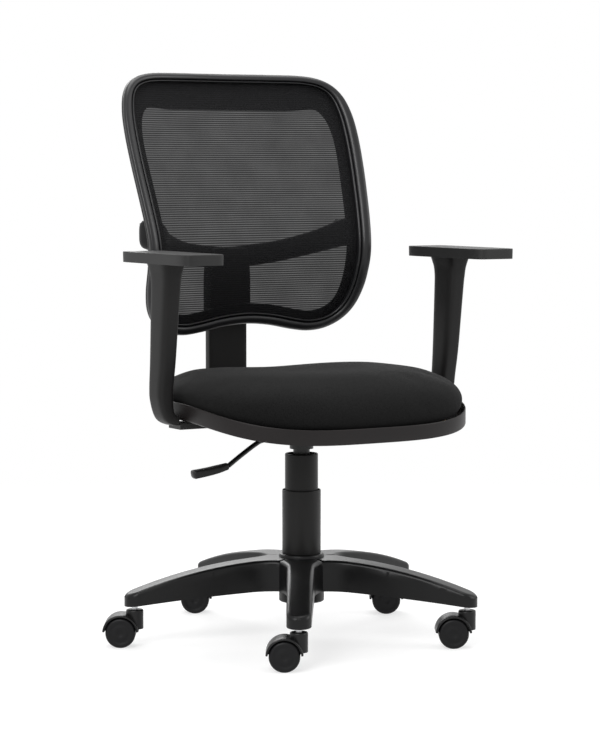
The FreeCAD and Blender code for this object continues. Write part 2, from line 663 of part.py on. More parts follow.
def back():
    """Front rim, mesh, rear frame and the yoke that carries them on the bar."""
    gap = size("skin_gap")
    front = -size("rim_front_out")
    rim_back = size("rim_back_out")
    whole = through(back_outline(0, 0, 0))
    inner = through(back_outline(size("rim_band_side"), size("rim_band_top"), size("rim_band_low")))
    part(shaped("back_rim", back_slab(front, rim_back).common(whole).cut(inner)), "back_rim")
    mesh_front = rim_back + gap
    mesh_back = mesh_front + size("mesh_thick")
    cloth = through(back_outline(6, 6, 6))
    part(shaped("back_mesh", back_slab(mesh_front, mesh_back).common(cloth)), "back_mesh")
    frame_front = mesh_back + gap
    frame_back = frame_front + size("frame_thick")
    frame = back_slab(frame_front, frame_back).common(through(back_outline(2, 2, 2)))
    window = back_outline(size("frame_band_side"), size("frame_band_top"), size("frame_band_low"))
    frame = frame.cut(through(window))
    yoke = yoke_solid(frame_back + gap)
    holes = [screw_hole(x, z) for x, z in yoke_screw_spots()]
    part(shaped("back_frame", frame.cut(Part.makeCompound(holes))), "back_frame")
    part(shaped("back_yoke", yoke.cut(Part.makeCompound(holes))), "back_yoke")
    screws = []
    for x, z in yoke_screw_spots():
        depth = surface_y(x, z)
        head = Part.makeCylinder(5, 4, Vector(x, depth + 62, z), Vector(0, 1, 0))
        tip = frame_front + 3
        shank = Part.makeCylinder(2.5, 62 - tip, Vector(x, depth + tip, z), Vector(0, 1, 0))
        screws.append(shank.fuse(head))
    part(shaped("yoke_screws", Part.makeCompound(screws)), "yoke_screws")
    catch = box("-20", "20", "bar_front_y - 4.4", "bar_front_y - skin_gap",
                "bar_cover_high + 8", "bar_cover_high + 34")
    part(catch, "back_catch")


def surface_y(x, z):
    """Depth of the back's front surface."""
    share = x / (size("back_half") + 6)
    return edge_y(z) + bow(z) * (1 - share * share)


def yoke_screw_spots():
    reach = size("wing_end") - 12
    return [(side * reach, size("lumbar_z") + rise) for side in (-1, 1) for rise in (20, 44)]


def screw_hole(x, z):
    """Stepped hole for one screw: shank through, head seat at the back."""
    depth = surface_y(x, z)
    shank = Part.makeCylinder(2.7, 120, Vector(x, depth, z), Vector(0, 1, 0))
    head = Part.makeCylinder(5.2, 60, Vector(x, depth + 62, z), Vector(0, 1, 0))
    return shank.fuse(head)


def yoke_solid(clear):
    """Spine that slides on the covered bar, with two wings that reach the frame's sides."""
    spine = Part.makeBox(2 * size("spine_half"), size("spine_back_y - spine_front_y"),
                         size("spine_high - spine_low"),
                         Vector(-size("spine_half"), size("spine_front_y"), size("spine_low")))
    knee = size("lumbar_z")
    end = size("wing_end")
    shape = spine
    for side in (-1, 1):
        stations = [(25, 256, knee - 16, 27, 40), (90, 243, knee - 9, 26, 38),
                    (150, 208, knee + 8, 36, 42), (end, 166, knee + 31, 52, 56)]
        wires = [rounded_section(Vector(side * x, y, z), Vector(0, 1, 0), Vector(0, 0, 1), depth, tall, 9)
                 for x, y, z, depth, tall in stations]
        shape = shape.fuse(Part.makeLoft(wires, True, False))
    middle = size("bar_front_y + bar_thick / 2")
    slot_half = size("cover_width / 2 + slide_gap")
    slot_depth = size("cover_depth + 2 * slide_gap")
    slot = Part.makeBox(2 * slot_half, slot_depth, size("spine_high - spine_low") - 6,
                        Vector(-slot_half, middle - slot_depth / 2, size("spine_low")))
    return shape.cut(slot).cut(back_slab(-200, clear))


# ---------------------------------------------------------------- arms

def arm(label, side):
    """Post with a flared head and a round elbow, soft pad, and steel bracket under the seat."""
    x = size("post_x")
    thick = size("post_thick")
    width = size("post_width")
    head = size("post_head_z")
    top_y = size("post_top_y")
    low_y = size("post_low_y")
    low = size("elbow_low")
    across_x = Vector(1, 0, 0)
    across_y = Vector(0, 1, 0)
    wires = []
    stations = ((head, 0, width + 24, thick + 16), (head - 12, 0, width + 17, thick + 9),
                (head - 40, 1, width + 11, thick + 3), (head - 130, 10, width + 3, thick + 1),
                (low + 60, 19, width - 5, thick))
    for z, shift, wide, deep in stations:
        wires.append(rounded_section(Vector(side * x, top_y + shift, z), across_x, across_y, deep, wide, 8))
    bend_x = x + thick / 2 - 36
    for turn in (30, 60):
        angle = math.radians(turn)
        outward = Vector(side * math.cos(angle), 0, -math.sin(angle))
        centre = Vector(side * bend_x, low_y, low + 37) + outward * (36 - thick / 2 + turn / 20)
        wires.append(rounded_section(centre, outward * side, across_y, thick - turn / 10, width - 5, 8))
    inner = Vector(side * size("elbow_in_x"), low_y, low + 8)
    wires.append(rounded_section(inner, Vector(0, 0, -1) * side, across_y, 16, width - 7, 5))
    post = Part.makeLoft(wires, True, False)
    part(shaped("arm_post_" + label, post), "arm_post_" + label)
    arm_pad(label, side)
    arm_bracket(label, side)


def arm_pad(label, side):
    """Flat pad with round corners in plan and soft edges."""
    near = size("pad_in_x")
    far = size("pad_out_x")
    front = size("pad_front_y")
    rear = size("pad_back_y")
    middle = Vector(side * (near + far) / 2, (front + rear) / 2, size("post_head_z"))
    outline = rounded_section(middle, Vector(1, 0, 0), Vector(0, 1, 0), far - near, rear - front,
                              size("pad_corner"))
    pad = Part.Face(outline).extrude(Vector(0, 0, size("pad_top - post_head_z")))
    edges = [edge for edge in pad.Edges if edge.CenterOfMass.z > size("pad_top") - 0.01]
    part(shaped("arm_pad_" + label, pad.makeFillet(3.5, edges)), "arm_pad_" + label)


def arm_bracket(label, side):
    """Steel bar that joins the post to the seat board, drilled for two bolts."""
    top = "pan_height - hole_gap"
    low = "pan_height - hole_gap - bracket_thick"
    start = "bracket_in_x"
    stop = "elbow_in_x - skin_gap"
    edges = (start, stop) if side > 0 else ("-(%s)" % stop, "-(%s)" % start)
    bar = box(edges[0], edges[1], "post_low_y - bracket_half", "post_low_y + bracket_half", low, top)
    for x, y in arm_bolt_spots():
        bar = cut(bar, rod("bolt_radius + hole_gap", "300", "400", x, y))
    part(bar, "arm_bracket_" + label)


def bolts_of_arms_and_bar():
    """Bolts up through the arm brackets, and up through the back bar into the seat plate."""
    low = "pan_height - hole_gap - bracket_thick"
    bolts = [fuse(rod("bolt_radius", low + " - 1", "pan_height + shell_wall + board_thick - 1", x, y),
                  rod("bolt_radius * 2", low + " - 4", low, x, y)) for x, y in arm_bolt_spots()]
    part(group(*bolts), "arm_bolts")
    low = "plate_top - plate_thick - bar_thick"
    bolts = [fuse(rod("bolt_radius", low + " - 1", "plate_top", x, y),
                  rod("bolt_radius * 2", low + " - 4", low, x, y)) for x, y in bar_bolt_spots()]
    part(group(*bolts), "back_bar_bolts")


base = part(shaped("base_star", base_star()), "base_star")
gas_column()
seat_plate()
lever()
seat()
back_bar()
back()
arm("right", -1)
arm("left", 1)
bolts_of_arms_and_bar()
casters = [(caster(number), turn) for number, turn in enumerate(stem_turns(), start=1)]
doc.recompute()
for items, turn in casters:
    set_caster(items, turn)
doc.recompute()

for item in doc.Objects:
    if "Invalid" in item.State or "Error" in item.State:
        raise RuntimeError("object failed: %s (%s)" % (item.Label, item.State))
os.makedirs("parts", exist_ok=True)
for item in parts:
    if item.Shape.isNull() or not item.Shape.isValid():
        raise RuntimeError("shape is not valid: " + item.Label)
    item.Shape.exportStep("parts/%s.step" % item.Label)
print("wrote", len(parts), "parts")
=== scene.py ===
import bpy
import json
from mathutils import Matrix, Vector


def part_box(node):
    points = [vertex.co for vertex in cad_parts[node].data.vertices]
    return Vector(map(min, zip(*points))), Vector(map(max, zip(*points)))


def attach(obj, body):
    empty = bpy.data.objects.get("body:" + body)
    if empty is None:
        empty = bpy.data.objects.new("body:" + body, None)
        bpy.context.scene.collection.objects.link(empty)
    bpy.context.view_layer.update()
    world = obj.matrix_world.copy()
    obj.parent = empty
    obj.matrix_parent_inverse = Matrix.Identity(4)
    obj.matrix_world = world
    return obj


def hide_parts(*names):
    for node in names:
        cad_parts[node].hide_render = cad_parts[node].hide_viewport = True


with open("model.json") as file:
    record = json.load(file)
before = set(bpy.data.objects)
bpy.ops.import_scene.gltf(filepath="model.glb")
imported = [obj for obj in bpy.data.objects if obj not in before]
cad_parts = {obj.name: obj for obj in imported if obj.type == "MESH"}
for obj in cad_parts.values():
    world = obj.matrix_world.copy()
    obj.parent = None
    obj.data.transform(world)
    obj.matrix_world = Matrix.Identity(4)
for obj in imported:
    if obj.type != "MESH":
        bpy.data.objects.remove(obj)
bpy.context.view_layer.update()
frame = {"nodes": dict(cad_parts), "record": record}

import json
import math

import bmesh
import bpy
import numpy as np

# Swivel office chair: seat with a moulded shell, mesh back in a plastic frame, T-shaped arms,
# gas column and star base.  Metres.  +Z up, the sitter faces -Y.

MM = 0.001


# ------------------------------------------------------------------ meshes

def grid(name, points, loop_u=False, loop_v=False, sharp=40.0, uv=None):
    """Surface over a grid of points (u, v, xyz); a looped side joins its last row to its first."""
    count_u, count_v = points.shape[:2]
    index = np.arange(count_u * count_v).reshape(count_u, count_v)
    if loop_u:
        index = np.vstack([index, index[:1]])
    if loop_v:
        index = np.hstack([index, index[:, :1]])
    quads = np.stack([index[:-1, :-1], index[1:, :-1], index[1:, 1:], index[:-1, 1:]], axis=-1).reshape(-1, 4)
    mesh = bpy.data.meshes.new(name)
    mesh.from_pydata(points.reshape(-1, 3).tolist(), [], quads.tolist())
    if uv is not None:
        layer = mesh.uv_layers.new(name="weave")
        layer.data.foreach_set("uv", uv.reshape(-1, 2)[quads.reshape(-1)].reshape(-1).astype(np.float32))
    work = bmesh.new()
    work.from_mesh(mesh)
    bmesh.ops.remove_doubles(work, verts=work.verts, dist=1e-6)
    flat = [face for face in work.faces if face.calc_area() < 1e-12]
    bmesh.ops.delete(work, geom=flat, context="FACES_ONLY")
    bmesh.ops.recalc_face_normals(work, faces=work.faces)
    work.to_mesh(mesh)
    work.free()
    mesh.shade_smooth()
    mesh.set_sharp_from_angle(angle=math.radians(sharp))
    piece = bpy.data.objects.new(name, mesh)
    bpy.context.scene.collection.objects.link(piece)
    return piece


def spline(points, count, closed=False):
    """Even points on a cubic (Catmull-Rom) curve through a few points."""
    points = np.asarray(points, float)
    if closed:
        padded = np.vstack([points[-1:], points, points[:2]])
    else:
        padded = np.vstack([2 * points[:1] - points[1:2], points, 2 * points[-1:] - points[-2:-1]])
    spans = len(padded) - 3
    at = np.arange(count) * spans / (count if closed else count - 1)
    cell = np.minimum(at.astype(int), spans - 1)
    t = (at - cell)[:, None]
    a, b, c, d = (padded[cell + k] for k in range(4))
    return 0.5 * (2 * b + (c - a) * t + (2 * a - 5 * b + 4 * c - d) * t ** 2 + (3 * b - a - 3 * c + d) * t ** 3)


def smooth(values):
    """Smooth step from 0 to 1."""
    t = np.clip(values, 0, 1)
    return t * t * (3 - 2 * t)


def unit(vectors):
    return vectors / np.linalg.norm(vectors, axis=-1, keepdims=True)


def superellipse(count, power):
    """Closed unit outline |x|^p + |y|^p = 1, spaced evenly in angle."""
    turn = np.linspace(0, 2 * np.pi, count, endpoint=False)
    cosine, sine = np.cos(turn), np.sin(turn)
    return (np.sign(cosine) * np.abs(cosine) ** (2 / power), np.sign(sine) * np.abs(sine) ** (2 / power))


def tube(name, centres, across, along, half_w, half_h, power=4.0, caps=(0.0, 0.0), around=48, sharp=40.0):
    """Superelliptic section carried along a line; each end is rounded over its cap's length."""
    count = len(centres)
    half_w = np.broadcast_to(half_w, count)
    half_h = np.broadcast_to(half_h, count)
    run = np.concatenate([[0], np.cumsum(np.linalg.norm(np.diff(centres, axis=0), axis=1))])
    scale = np.ones(count)
    for cap, distance in zip(caps, (run, run[-1] - run)):
        if cap > 0:
            inside = np.clip(1 - distance / cap, 0, 1)
            scale *= np.sqrt(1 - inside ** 2)
    x, y = superellipse(around, power)
    points = (centres[:, None] + across[:, None] * (x[None, :, None] * (half_w * scale)[:, None, None])
              + along[:, None] * (y[None, :, None] * (half_h * scale)[:, None, None]))
    ends = [points[:1].mean(axis=1, keepdims=True).repeat(around, axis=1),
            points[-1:].mean(axis=1, keepdims=True).repeat(around, axis=1)]
    return grid(name, np.concatenate([ends[0], points, ends[1]]), loop_v=True, sharp=sharp)


def lathe(name, profile, centre, around=96, loop=False, sharp=35.0):
    """Profile of (radius, height) turned about an upright axis; a looped profile is closed on itself."""
    profile = np.asarray(profile, float)
    turn = np.linspace(0, 2 * np.pi, around, endpoint=False)
    ring = np.stack([np.cos(turn), np.sin(turn), np.zeros(around)], axis=-1)
    points = ring[:, None] * profile[None, :, :1] + np.array([0, 0, 1.0]) * profile[None, :, 1:]
    return grid(name, points + np.asarray(centre), loop_u=True, loop_v=loop, sharp=sharp)


def dense(crowding, count=60):
    """Positions from 0 to 1 that crowd towards both ends: a blend of even steps and cosine steps."""
    even = np.linspace(0, 1, count)
    return (1 - crowding) * even + crowding * (0.5 - 0.5 * np.cos(np.pi * even))


# ------------------------------------------------------------------ materials

def new_group(name, inputs, outputs):
    """Empty shader group with named sockets and its two end nodes."""
    group = bpy.data.node_groups.new(name, "ShaderNodeTree")
    for label, kind, value in inputs:
        socket = group.interface.new_socket(label, in_out="INPUT", socket_type=kind)
        if value is not None:
            socket.default_value = value
    for label, kind in outputs:
        group.interface.new_socket(label, in_out="OUTPUT", socket_type=kind)
    return group, group.nodes.new("NodeGroupInput"), group.nodes.new("NodeGroupOutput")


def maths(tree, operation, first, second=None, clamp=False):
    """Math node whose inputs are sockets or numbers."""
    node = tree.nodes.new("ShaderNodeMath")
    node.operation = operation
    node.use_clamp = clamp
    for socket, value in zip(node.inputs, (first, second)):
        if value is None:
            continue
        if isinstance(value, bpy.types.NodeSocket):
            tree.links.new(value, socket)
        else:
            socket.default_value = value
    return node.outputs[0]


def noise(tree, vector, scale, detail=2.0, roughness=0.5):
    node = tree.nodes.new("ShaderNodeTexNoise")
    tree.links.new(vector, node.inputs["Vector"])
    if isinstance(scale, bpy.types.NodeSocket):
        tree.links.new(scale, node.inputs["Scale"])
    else:
        node.inputs["Scale"].default_value = scale
    node.inputs["Detail"].default_value = detail
    node.inputs["Roughness"].default_value = roughness
    return node.outputs["Fac"]


def moulding_group():
    """Fine moulded grain, slow mottling and light handling wear, from object coordinates."""
    group, source, sink = new_group(
        "moulding", [("Vector", "NodeSocketVector", None), ("Grain", "NodeSocketFloat", 900.0),
                     ("Wear", "NodeSocketFloat", 0.3)],
        [("Height", "NodeSocketFloat"), ("Mottle", "NodeSocketFloat"), ("Scuff", "NodeSocketFloat")])
    vector = source.outputs["Vector"]
    fine = noise(group, vector, source.outputs["Grain"], 3.0, 0.6)
    slow = noise(group, vector, 14.0, 4.0, 0.55)
    streak = noise(group, vector, 60.0, 6.0, 0.7)
    scuff = maths(group, "MULTIPLY", maths(group, "GREATER_THAN", streak, 0.68), source.outputs["Wear"])
    group.links.new(fine, sink.inputs["Height"])
    group.links.new(slow, sink.inputs["Mottle"])
    group.links.new(scuff, sink.inputs["Scuff"])
    return group


def knit_group():
    """Fine knit: rows of small loops, from object coordinates; the Shade output is painted shade, largest in the
    recesses between loops.
    """
    group, source, sink = new_group(
        "knit", [("Vector", "NodeSocketVector", None), ("Loops", "NodeSocketFloat", 620.0)],
        [("Height", "NodeSocketFloat"), ("Shade", "NodeSocketFloat"), ("Mottle", "NodeSocketFloat")])
    cells = group.nodes.new("ShaderNodeTexVoronoi")
    group.links.new(source.outputs["Vector"], cells.inputs["Vector"])
    group.links.new(source.outputs["Loops"], cells.inputs["Scale"])
    fuzz = noise(group, source.outputs["Vector"], 1500.0, 2.0, 0.6)
    height = maths(group, "ADD", maths(group, "SUBTRACT", 1.0, cells.outputs["Distance"]),
                   maths(group, "MULTIPLY", fuzz, 0.35))
    group.links.new(height, sink.inputs["Height"])
    # Painted shade: the cell distance, largest in the recesses between loops, goes out to darken the colour there.
    group.links.new(cells.outputs["Distance"], sink.inputs["Shade"])
    group.links.new(noise(group, source.outputs["Vector"], 9.0, 4.0, 0.6), sink.inputs["Mottle"])
    return group


MOULDING = moulding_group()
KNIT = knit_group()


def blank(name):
    """Material with its Principled shader and a texture coordinate node."""
    material = bpy.data.materials.new(name)
    material.use_nodes = True
    tree = material.node_tree
    shader = tree.nodes["Principled BSDF"]
    return material, tree, shader, tree.nodes.new("ShaderNodeTexCoord").outputs["Object"]


def ramp(tree, value, stops):
    """Colour ramp from (position, colour) stops."""
    node = tree.nodes.new("ShaderNodeValToRGB")
    tree.links.new(value, node.inputs["Fac"])
    while len(node.color_ramp.elements) < len(stops):
        node.color_ramp.elements.new(0.5)
    for element, (position, colour) in zip(node.color_ramp.elements, stops):
        element.position = position
        element.color = (*colour, 1.0)
    return node.outputs["Color"]


def bump(tree, height, shader, strength, distance):
    node = tree.nodes.new("ShaderNodeBump")
    node.inputs["Strength"].default_value = strength
    node.inputs["Distance"].default_value = distance
    tree.links.new(height, node.inputs["Height"])
    tree.links.new(node.outputs["Normal"], shader.inputs["Normal"])


def plastic(name, colour, roughness, grain=900.0, relief=0.25, wear=0.3, specular=0.5):
    """Moulded plastic: grain relief, mottled colour, scuffed roughness."""
    material, tree, shader, vector = blank(name)
    group = tree.nodes.new("ShaderNodeGroup")
    group.node_tree = MOULDING
    group.inputs["Grain"].default_value = grain
    group.inputs["Wear"].default_value = wear
    tree.links.new(vector, group.inputs["Vector"])
    dark = [channel * 0.82 for channel in colour]
    light = [channel * 1.22 for channel in colour]
    tree.links.new(ramp(tree, group.outputs["Mottle"], [(0.3, dark), (0.7, light)]), shader.inputs["Base Color"])
    rough = maths(tree, "MULTIPLY_ADD", group.outputs["Mottle"], 0.16)
    rough.node.inputs[2].default_value = roughness - 0.08
    rough = maths(tree, "ADD", rough, maths(tree, "MULTIPLY", group.outputs["Scuff"], 0.15), clamp=True)
    tree.links.new(rough, shader.inputs["Roughness"])
    shader.inputs["Specular IOR Level"].default_value = specular
    bump(tree, group.outputs["Height"], shader, relief, 0.0003)
    return material


def metal(name, colour, roughness):
    """Plated or polished steel with fine brushing."""
    material, tree, shader, vector = blank(name)
    shader.inputs["Metallic"].default_value = 1.0
    brushed = noise(tree, vector, 400.0, 3.0, 0.6)
    low = [channel * 0.85 for channel in colour]
    tree.links.new(ramp(tree, brushed, [(0.3, low), (0.7, colour)]), shader.inputs["Base Color"])
    rough = maths(tree, "MULTIPLY_ADD", brushed, 0.2)
    rough.node.inputs[2].default_value = roughness - 0.1
    tree.links.new(rough, shader.inputs["Roughness"])
    bump(tree, brushed, shader, 0.08, 0.0002)
    return material


def wood(name):
    """Pressed plywood: layered edge and pale face."""
    material, tree, shader, vector = blank(name)
    bands = tree.nodes.new("ShaderNodeTexWave")
    bands.bands_direction = "Z"
    bands.inputs["Scale"].default_value = 250.0
    bands.inputs["Distortion"].default_value = 3.0
    tree.links.new(vector, bands.inputs["Vector"])
    tree.links.new(ramp(tree, bands.outputs["Fac"], [(0.2, (0.30, 0.19, 0.10)), (0.8, (0.50, 0.35, 0.20))]),
                   shader.inputs["Base Color"])
    shader.inputs["Roughness"].default_value = 0.7
    bump(tree, bands.outputs["Fac"], shader, 0.1, 0.0003)
    return material


def upholstery():
    """Black knit cover: fine loops with painted shade in the recesses between them, soft sheen along grazing angles,
    slow random mottling.
    """
    material, tree, shader, vector = blank("seat_knit")
    group = tree.nodes.new("ShaderNodeGroup")
    group.node_tree = KNIT
    tree.links.new(vector, group.inputs["Vector"])
    # Base colour: painted shade darkening the recesses between loops, plus slow random mottling.
    mix = maths(tree, "ADD", maths(tree, "MULTIPLY", group.outputs["Shade"], 0.8),
                maths(tree, "MULTIPLY", group.outputs["Mottle"], 0.3))
    tree.links.new(ramp(tree, mix, [(0.15, (0.010, 0.010, 0.010)), (0.9, (0.003, 0.003, 0.003))]),
                   shader.inputs["Base Color"])
    shader.inputs["Roughness"].default_value = 0.92
    shader.inputs["Sheen Weight"].default_value = 0.05
    shader.inputs["Sheen Roughness"].default_value = 0.5
    shader.inputs["Sheen Tint"].default_value = (0.5, 0.5, 0.5, 1.0)
    shader.inputs["Specular IOR Level"].default_value = 0.12
    bump(tree, group.outputs["Height"], shader, 0.5, 0.0006)
    return material


def wave(tree, value, pitch):
    """Raised cosine from 0 to 1 along a coordinate."""
    turn = maths(tree, "MULTIPLY", value, 2 * math.pi / pitch)
    return maths(tree, "MULTIPLY_ADD", maths(tree, "COSINE", turn), -0.5)


def netting():
    """Stretched net: close cross rows with fine gaps between them, placed by the sheet's own map."""
    material, tree, shader, _ = blank("back_netting")
    chart = tree.nodes.new("ShaderNodeUVMap")
    chart.uv_map = "weave"
    split = tree.nodes.new("ShaderNodeSeparateXYZ")
    tree.links.new(chart.outputs["UV"], split.inputs["Vector"])
    wander = maths(tree, "MULTIPLY", maths(tree, "SUBTRACT", noise(tree, chart.outputs["UV"], 25.0, 2.0), 0.5), 0.0008)
    row = wave(tree, maths(tree, "ADD", split.outputs["Y"], wander), ROW_PITCH)
    column = wave(tree, split.outputs["X"], HOLE_PITCH)
    row.node.inputs[2].default_value = 0.5
    column.node.inputs[2].default_value = 0.5
    cloud = noise(tree, chart.outputs["UV"], 18.0, 3.0)
    gap = maths(tree, "MULTIPLY", maths(tree, "POWER", row, 1.4), maths(tree, "ADD", column, 0.35))
    gap = maths(tree, "MULTIPLY", gap, maths(tree, "ADD", cloud, 0.5))
    light = maths(tree, "ADD", maths(tree, "MULTIPLY", gap, GAP_SHARE), 0.015)
    tree.links.new(maths(tree, "SUBTRACT", 1.0, light, clamp=True), shader.inputs["Alpha"])
    tree.links.new(ramp(tree, row, [(0.1, (0.003, 0.003, 0.0035)), (0.9, (0.007, 0.007, 0.0075))]),
                   shader.inputs["Base Color"])
    shader.inputs["Roughness"].default_value = 0.75
    shader.inputs["Specular IOR Level"].default_value = 0.12
    bump(tree, row, shader, 0.5, 0.0006)
    return material


ROW_PITCH = 4.0 * MM
HOLE_PITCH = 1.5 * MM
GAP_SHARE = 0.125

BASE_PLASTIC = plastic("base_nylon", (0.004, 0.004, 0.0042), 0.33, 700.0, 0.22, specular=0.22)
COVER_PLASTIC = plastic("cover_plastic", (0.006, 0.0057, 0.0055), 0.42, 900.0, 0.15, specular=0.24)
CASTER_PLASTIC = plastic("caster_nylon", (0.004, 0.004, 0.0042), 0.34, 800.0, 0.15, specular=0.26)
WHEEL_PLASTIC = plastic("wheel_nylon", (0.004, 0.004, 0.0045), 0.40, 800.0, 0.12, 0.6, specular=0.20)
SHELL_PLASTIC = plastic("shell_plastic", (0.0065, 0.0048, 0.0048), 0.44, 900.0, 0.12, specular=0.26)
RIM_PLASTIC = plastic("rim_plastic", (0.008, 0.008, 0.0088), 0.33, 900.0, 0.08, specular=0.36)
FRAME_PLASTIC = plastic("frame_plastic", (0.005, 0.005, 0.0055), 0.45, 700.0, 0.20, specular=0.20)
ARM_PLASTIC = plastic("arm_plastic", (0.0065, 0.0062, 0.0062), 0.48, 900.0, 0.18, specular=0.22)
PAD_PLASTIC = plastic("pad_skin", (0.013, 0.013, 0.013), 0.50, 650.0, 0.30, 0.4, specular=0.32)
BLACK_STEEL = plastic("black_powder_coat", (0.006, 0.006, 0.006), 0.33, 500.0, 0.12, specular=0.35)
PALE_PLASTIC = plastic("acetal", (0.60, 0.58, 0.52), 0.4, 700.0, 0.1)
BRIGHT_STEEL = metal("zinc_plate", (0.62, 0.62, 0.63), 0.35)
PLYWOOD = wood("plywood")
KNIT_COVER = upholstery()
NETTING = netting()

SLOT_FINISH = {
    "base_plastic": BASE_PLASTIC, "caster_plastic": CASTER_PLASTIC, "wheel_plastic": WHEEL_PLASTIC,
    "black_steel": BLACK_STEEL, "bright_steel": BRIGHT_STEEL, "pale_plastic": PALE_PLASTIC,
    "cover_plastic": COVER_PLASTIC, "shell_plastic": SHELL_PLASTIC, "plywood": PLYWOOD,
    "seat_fabric": KNIT_COVER, "mesh_fabric": NETTING, "rim_plastic": RIM_PLASTIC,
    "frame_plastic": FRAME_PLASTIC, "arm_plastic": ARM_PLASTIC, "pad_plastic": PAD_PLASTIC,
}


def finish_piece(piece, slot, body, *nodes):
    """Give a piece the material of its slot and its body, and hide the CAD nodes that it stands for."""
    piece.data.materials.clear()
    piece.data.materials.append(SLOT_FINISH[slot])
    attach(piece, body)
    if nodes:
        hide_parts(*nodes)
    return piece


def dress_nodes():
    """Give every carried-over node the finish of its slot."""
    for entry in frame["record"]["subparts"]:
        node = frame["nodes"][entry["node"]]
        material = SLOT_FINISH[entry["material_slot"]]
        if not node.material_slots:
            node.data.materials.append(material)
        for held in node.material_slots:
            held.material = material


# ------------------------------------------------------------------ seat

SEAT_HALF = np.array([246, 219]) * MM
SEAT_CENTRE_Y = -12 * MM
SEAT_POWER = 3.3
REAR_TAPER = 0.09
PAN_HEIGHT = 378 * MM
PAN_SHARE = 0.45
RIM_FRONT, RIM_SIDE = 375 * MM, 411 * MM
RIM_TURN_Y = 4 * MM
RIM_CURVE = 2.0
RIM_DEPTH = 31 * MM
SHELL_WALL = 3 * MM
CROWN = 459 * MM


def seat_plan(turn, share):
    """Superellipse round the seat, scaled by a share about the seat's middle and drawn in at the rear."""
    power = 2 / SEAT_POWER
    cosine, sine = np.cos(turn), np.sin(turn)
    x = SEAT_HALF[0] * np.sign(cosine) * np.abs(cosine) ** power * share
    y = SEAT_CENTRE_Y + SEAT_HALF[1] * np.sign(sine) * np.abs(sine) ** power * share
    return x * (1 - REAR_TAPER * smooth((y - 0.02) / 0.16)), y


def rim_height(turn):
    """Shell's upper edge: level at the sides and back, falling to the front."""
    y = seat_plan(turn, 1.0)[1]
    front = SEAT_CENTRE_Y - SEAT_HALF[1]
    share = np.clip((RIM_TURN_Y - y) / (RIM_TURN_Y - front), 0, 1)
    return RIM_SIDE - (RIM_SIDE - RIM_FRONT) * share ** RIM_CURVE


def floor_height(turn, share):
    """Shell's underside: flat in the middle, then curving to the rim's lower edge."""
    bend = np.clip((share - PAN_SHARE) / (1 - PAN_SHARE), 0, 1) ** 2
    return PAN_HEIGHT + (rim_height(turn) - RIM_DEPTH - PAN_HEIGHT) * bend


def seat_turns(count=144):
    """Turns spaced evenly round the plan, offset by half a step."""
    return np.linspace(0, 2 * np.pi, count, endpoint=False) + np.pi / count


def seat_shell():
    """Moulded tray: underside, round lower edge, upright rim with a rolled lip, and inner face."""
    turn = seat_turns()
    rows = []

    def row(share, height):
        x, y = seat_plan(turn, share)
        rows.append(np.stack([x, y, height + 0 * x], axis=-1))

    for share in np.linspace(0.02, 0.9, 18):
        row(share, floor_height(turn, share))
    for angle in np.linspace(0, np.pi / 2, 9):
        low = rim_height(turn) - RIM_DEPTH
        mix = 0.9 + 0.1 * np.sin(angle)
        rise = (1 - np.cos(angle)) * 7 * MM
        row(mix, np.minimum(floor_height(turn, 0.9 + 0.1 * np.sin(angle) ** 2), low + 4 * MM) + rise)
    rim = rim_height(turn)
    row(1.0, rim - 2.0 * MM)
    for angle in np.linspace(0, np.pi, 7):
        row(0.995 + 0.005 * np.cos(angle), rim - 1.2 * MM + 1.2 * MM * np.sin(angle))
    row(0.986, rim - 8 * MM)
    row(0.975, rim - RIM_DEPTH + 9 * MM)
    for share in np.linspace(0.9, 0.02, 12):
        row(share, floor_height(turn, share) + SHELL_WALL)
    piece = grid("seat_tray", np.array(rows), loop_v=True, sharp=50)
    return finish_piece(piece, "shell_plastic", "lift", "seat_shell")


def cushion_form(swell=0.0):
    """Closed contoured form: flat below, tucked into the rim, full round sides and a broad crown.

    The side bulges past the seam by a quarter ellipse; above it the section is a superellipse-like curve
    with fixed powers.  The plan is drawn in beside the arms, and the crown dips in the middle.
    """
    turn = seat_turns(160)
    rim = rim_height(turn)
    rows = []

    def row(share, height, waist=0.0):
        x, y = seat_plan(turn, share)
        pinch = waist * np.exp(-((y - 0.045) / 0.055) ** 2) * smooth((np.abs(x) - 0.12) / 0.1)
        rows.append(np.stack([x - np.sign(x) * pinch, y, height + 0 * x], axis=-1))

    for share in np.linspace(0.02, 0.9, 14):
        row(share, floor_height(turn, share) + SHELL_WALL + 11 * MM)
    row(0.955, rim - 5 * MM)
    row(0.966, rim + 0.5 * MM)
    for angle in np.linspace(0.03, np.pi / 2, 40):
        share = np.cos(angle) ** 0.40
        lift = np.sin(angle) ** 0.80
        tuck = 0.03 * np.clip(1 - angle / 0.25, 0, 1) ** 2
        x, y = seat_plan(turn, np.maximum(share, 0.01))
        dip = 5 * MM * np.exp(-(x / 0.10) ** 2) * smooth((y + 0.16) / 0.12) + 7 * MM * smooth((y - 0.02) / 0.16)
        crown = CROWN - swell - dip - rim
        row(np.maximum(share * (1 - tuck), 0.012), rim + crown * lift, 9 * MM * math.sin(angle * 2) ** 2)
    return np.array(rows)


def seat_cushion():
    """Foam pad under a knit cover, puffed by a short cloth run from a slightly smaller form."""
    piece = grid("seat_pad", cushion_form(2 * MM), loop_v=True, sharp=80)
    inflate(piece, voxel=5 * MM, pressure=2.0, cap=3 * MM, hold_below=8 * MM)
    piece.data.shade_smooth()
    finish_piece(piece, "seat_fabric", "lift", "seat_cushion")
    return piece


def apply_modifiers(piece):
    """Replace a piece's mesh with its evaluated one and drop its modifiers."""
    graph = bpy.context.evaluated_depsgraph_get()
    mesh = bpy.data.meshes.new_from_object(piece.evaluated_get(graph), preserve_all_data_layers=True,
                                           depsgraph=graph)
    piece.modifiers.clear()
    old = piece.data
    piece.data = mesh
    bpy.data.meshes.remove(old)


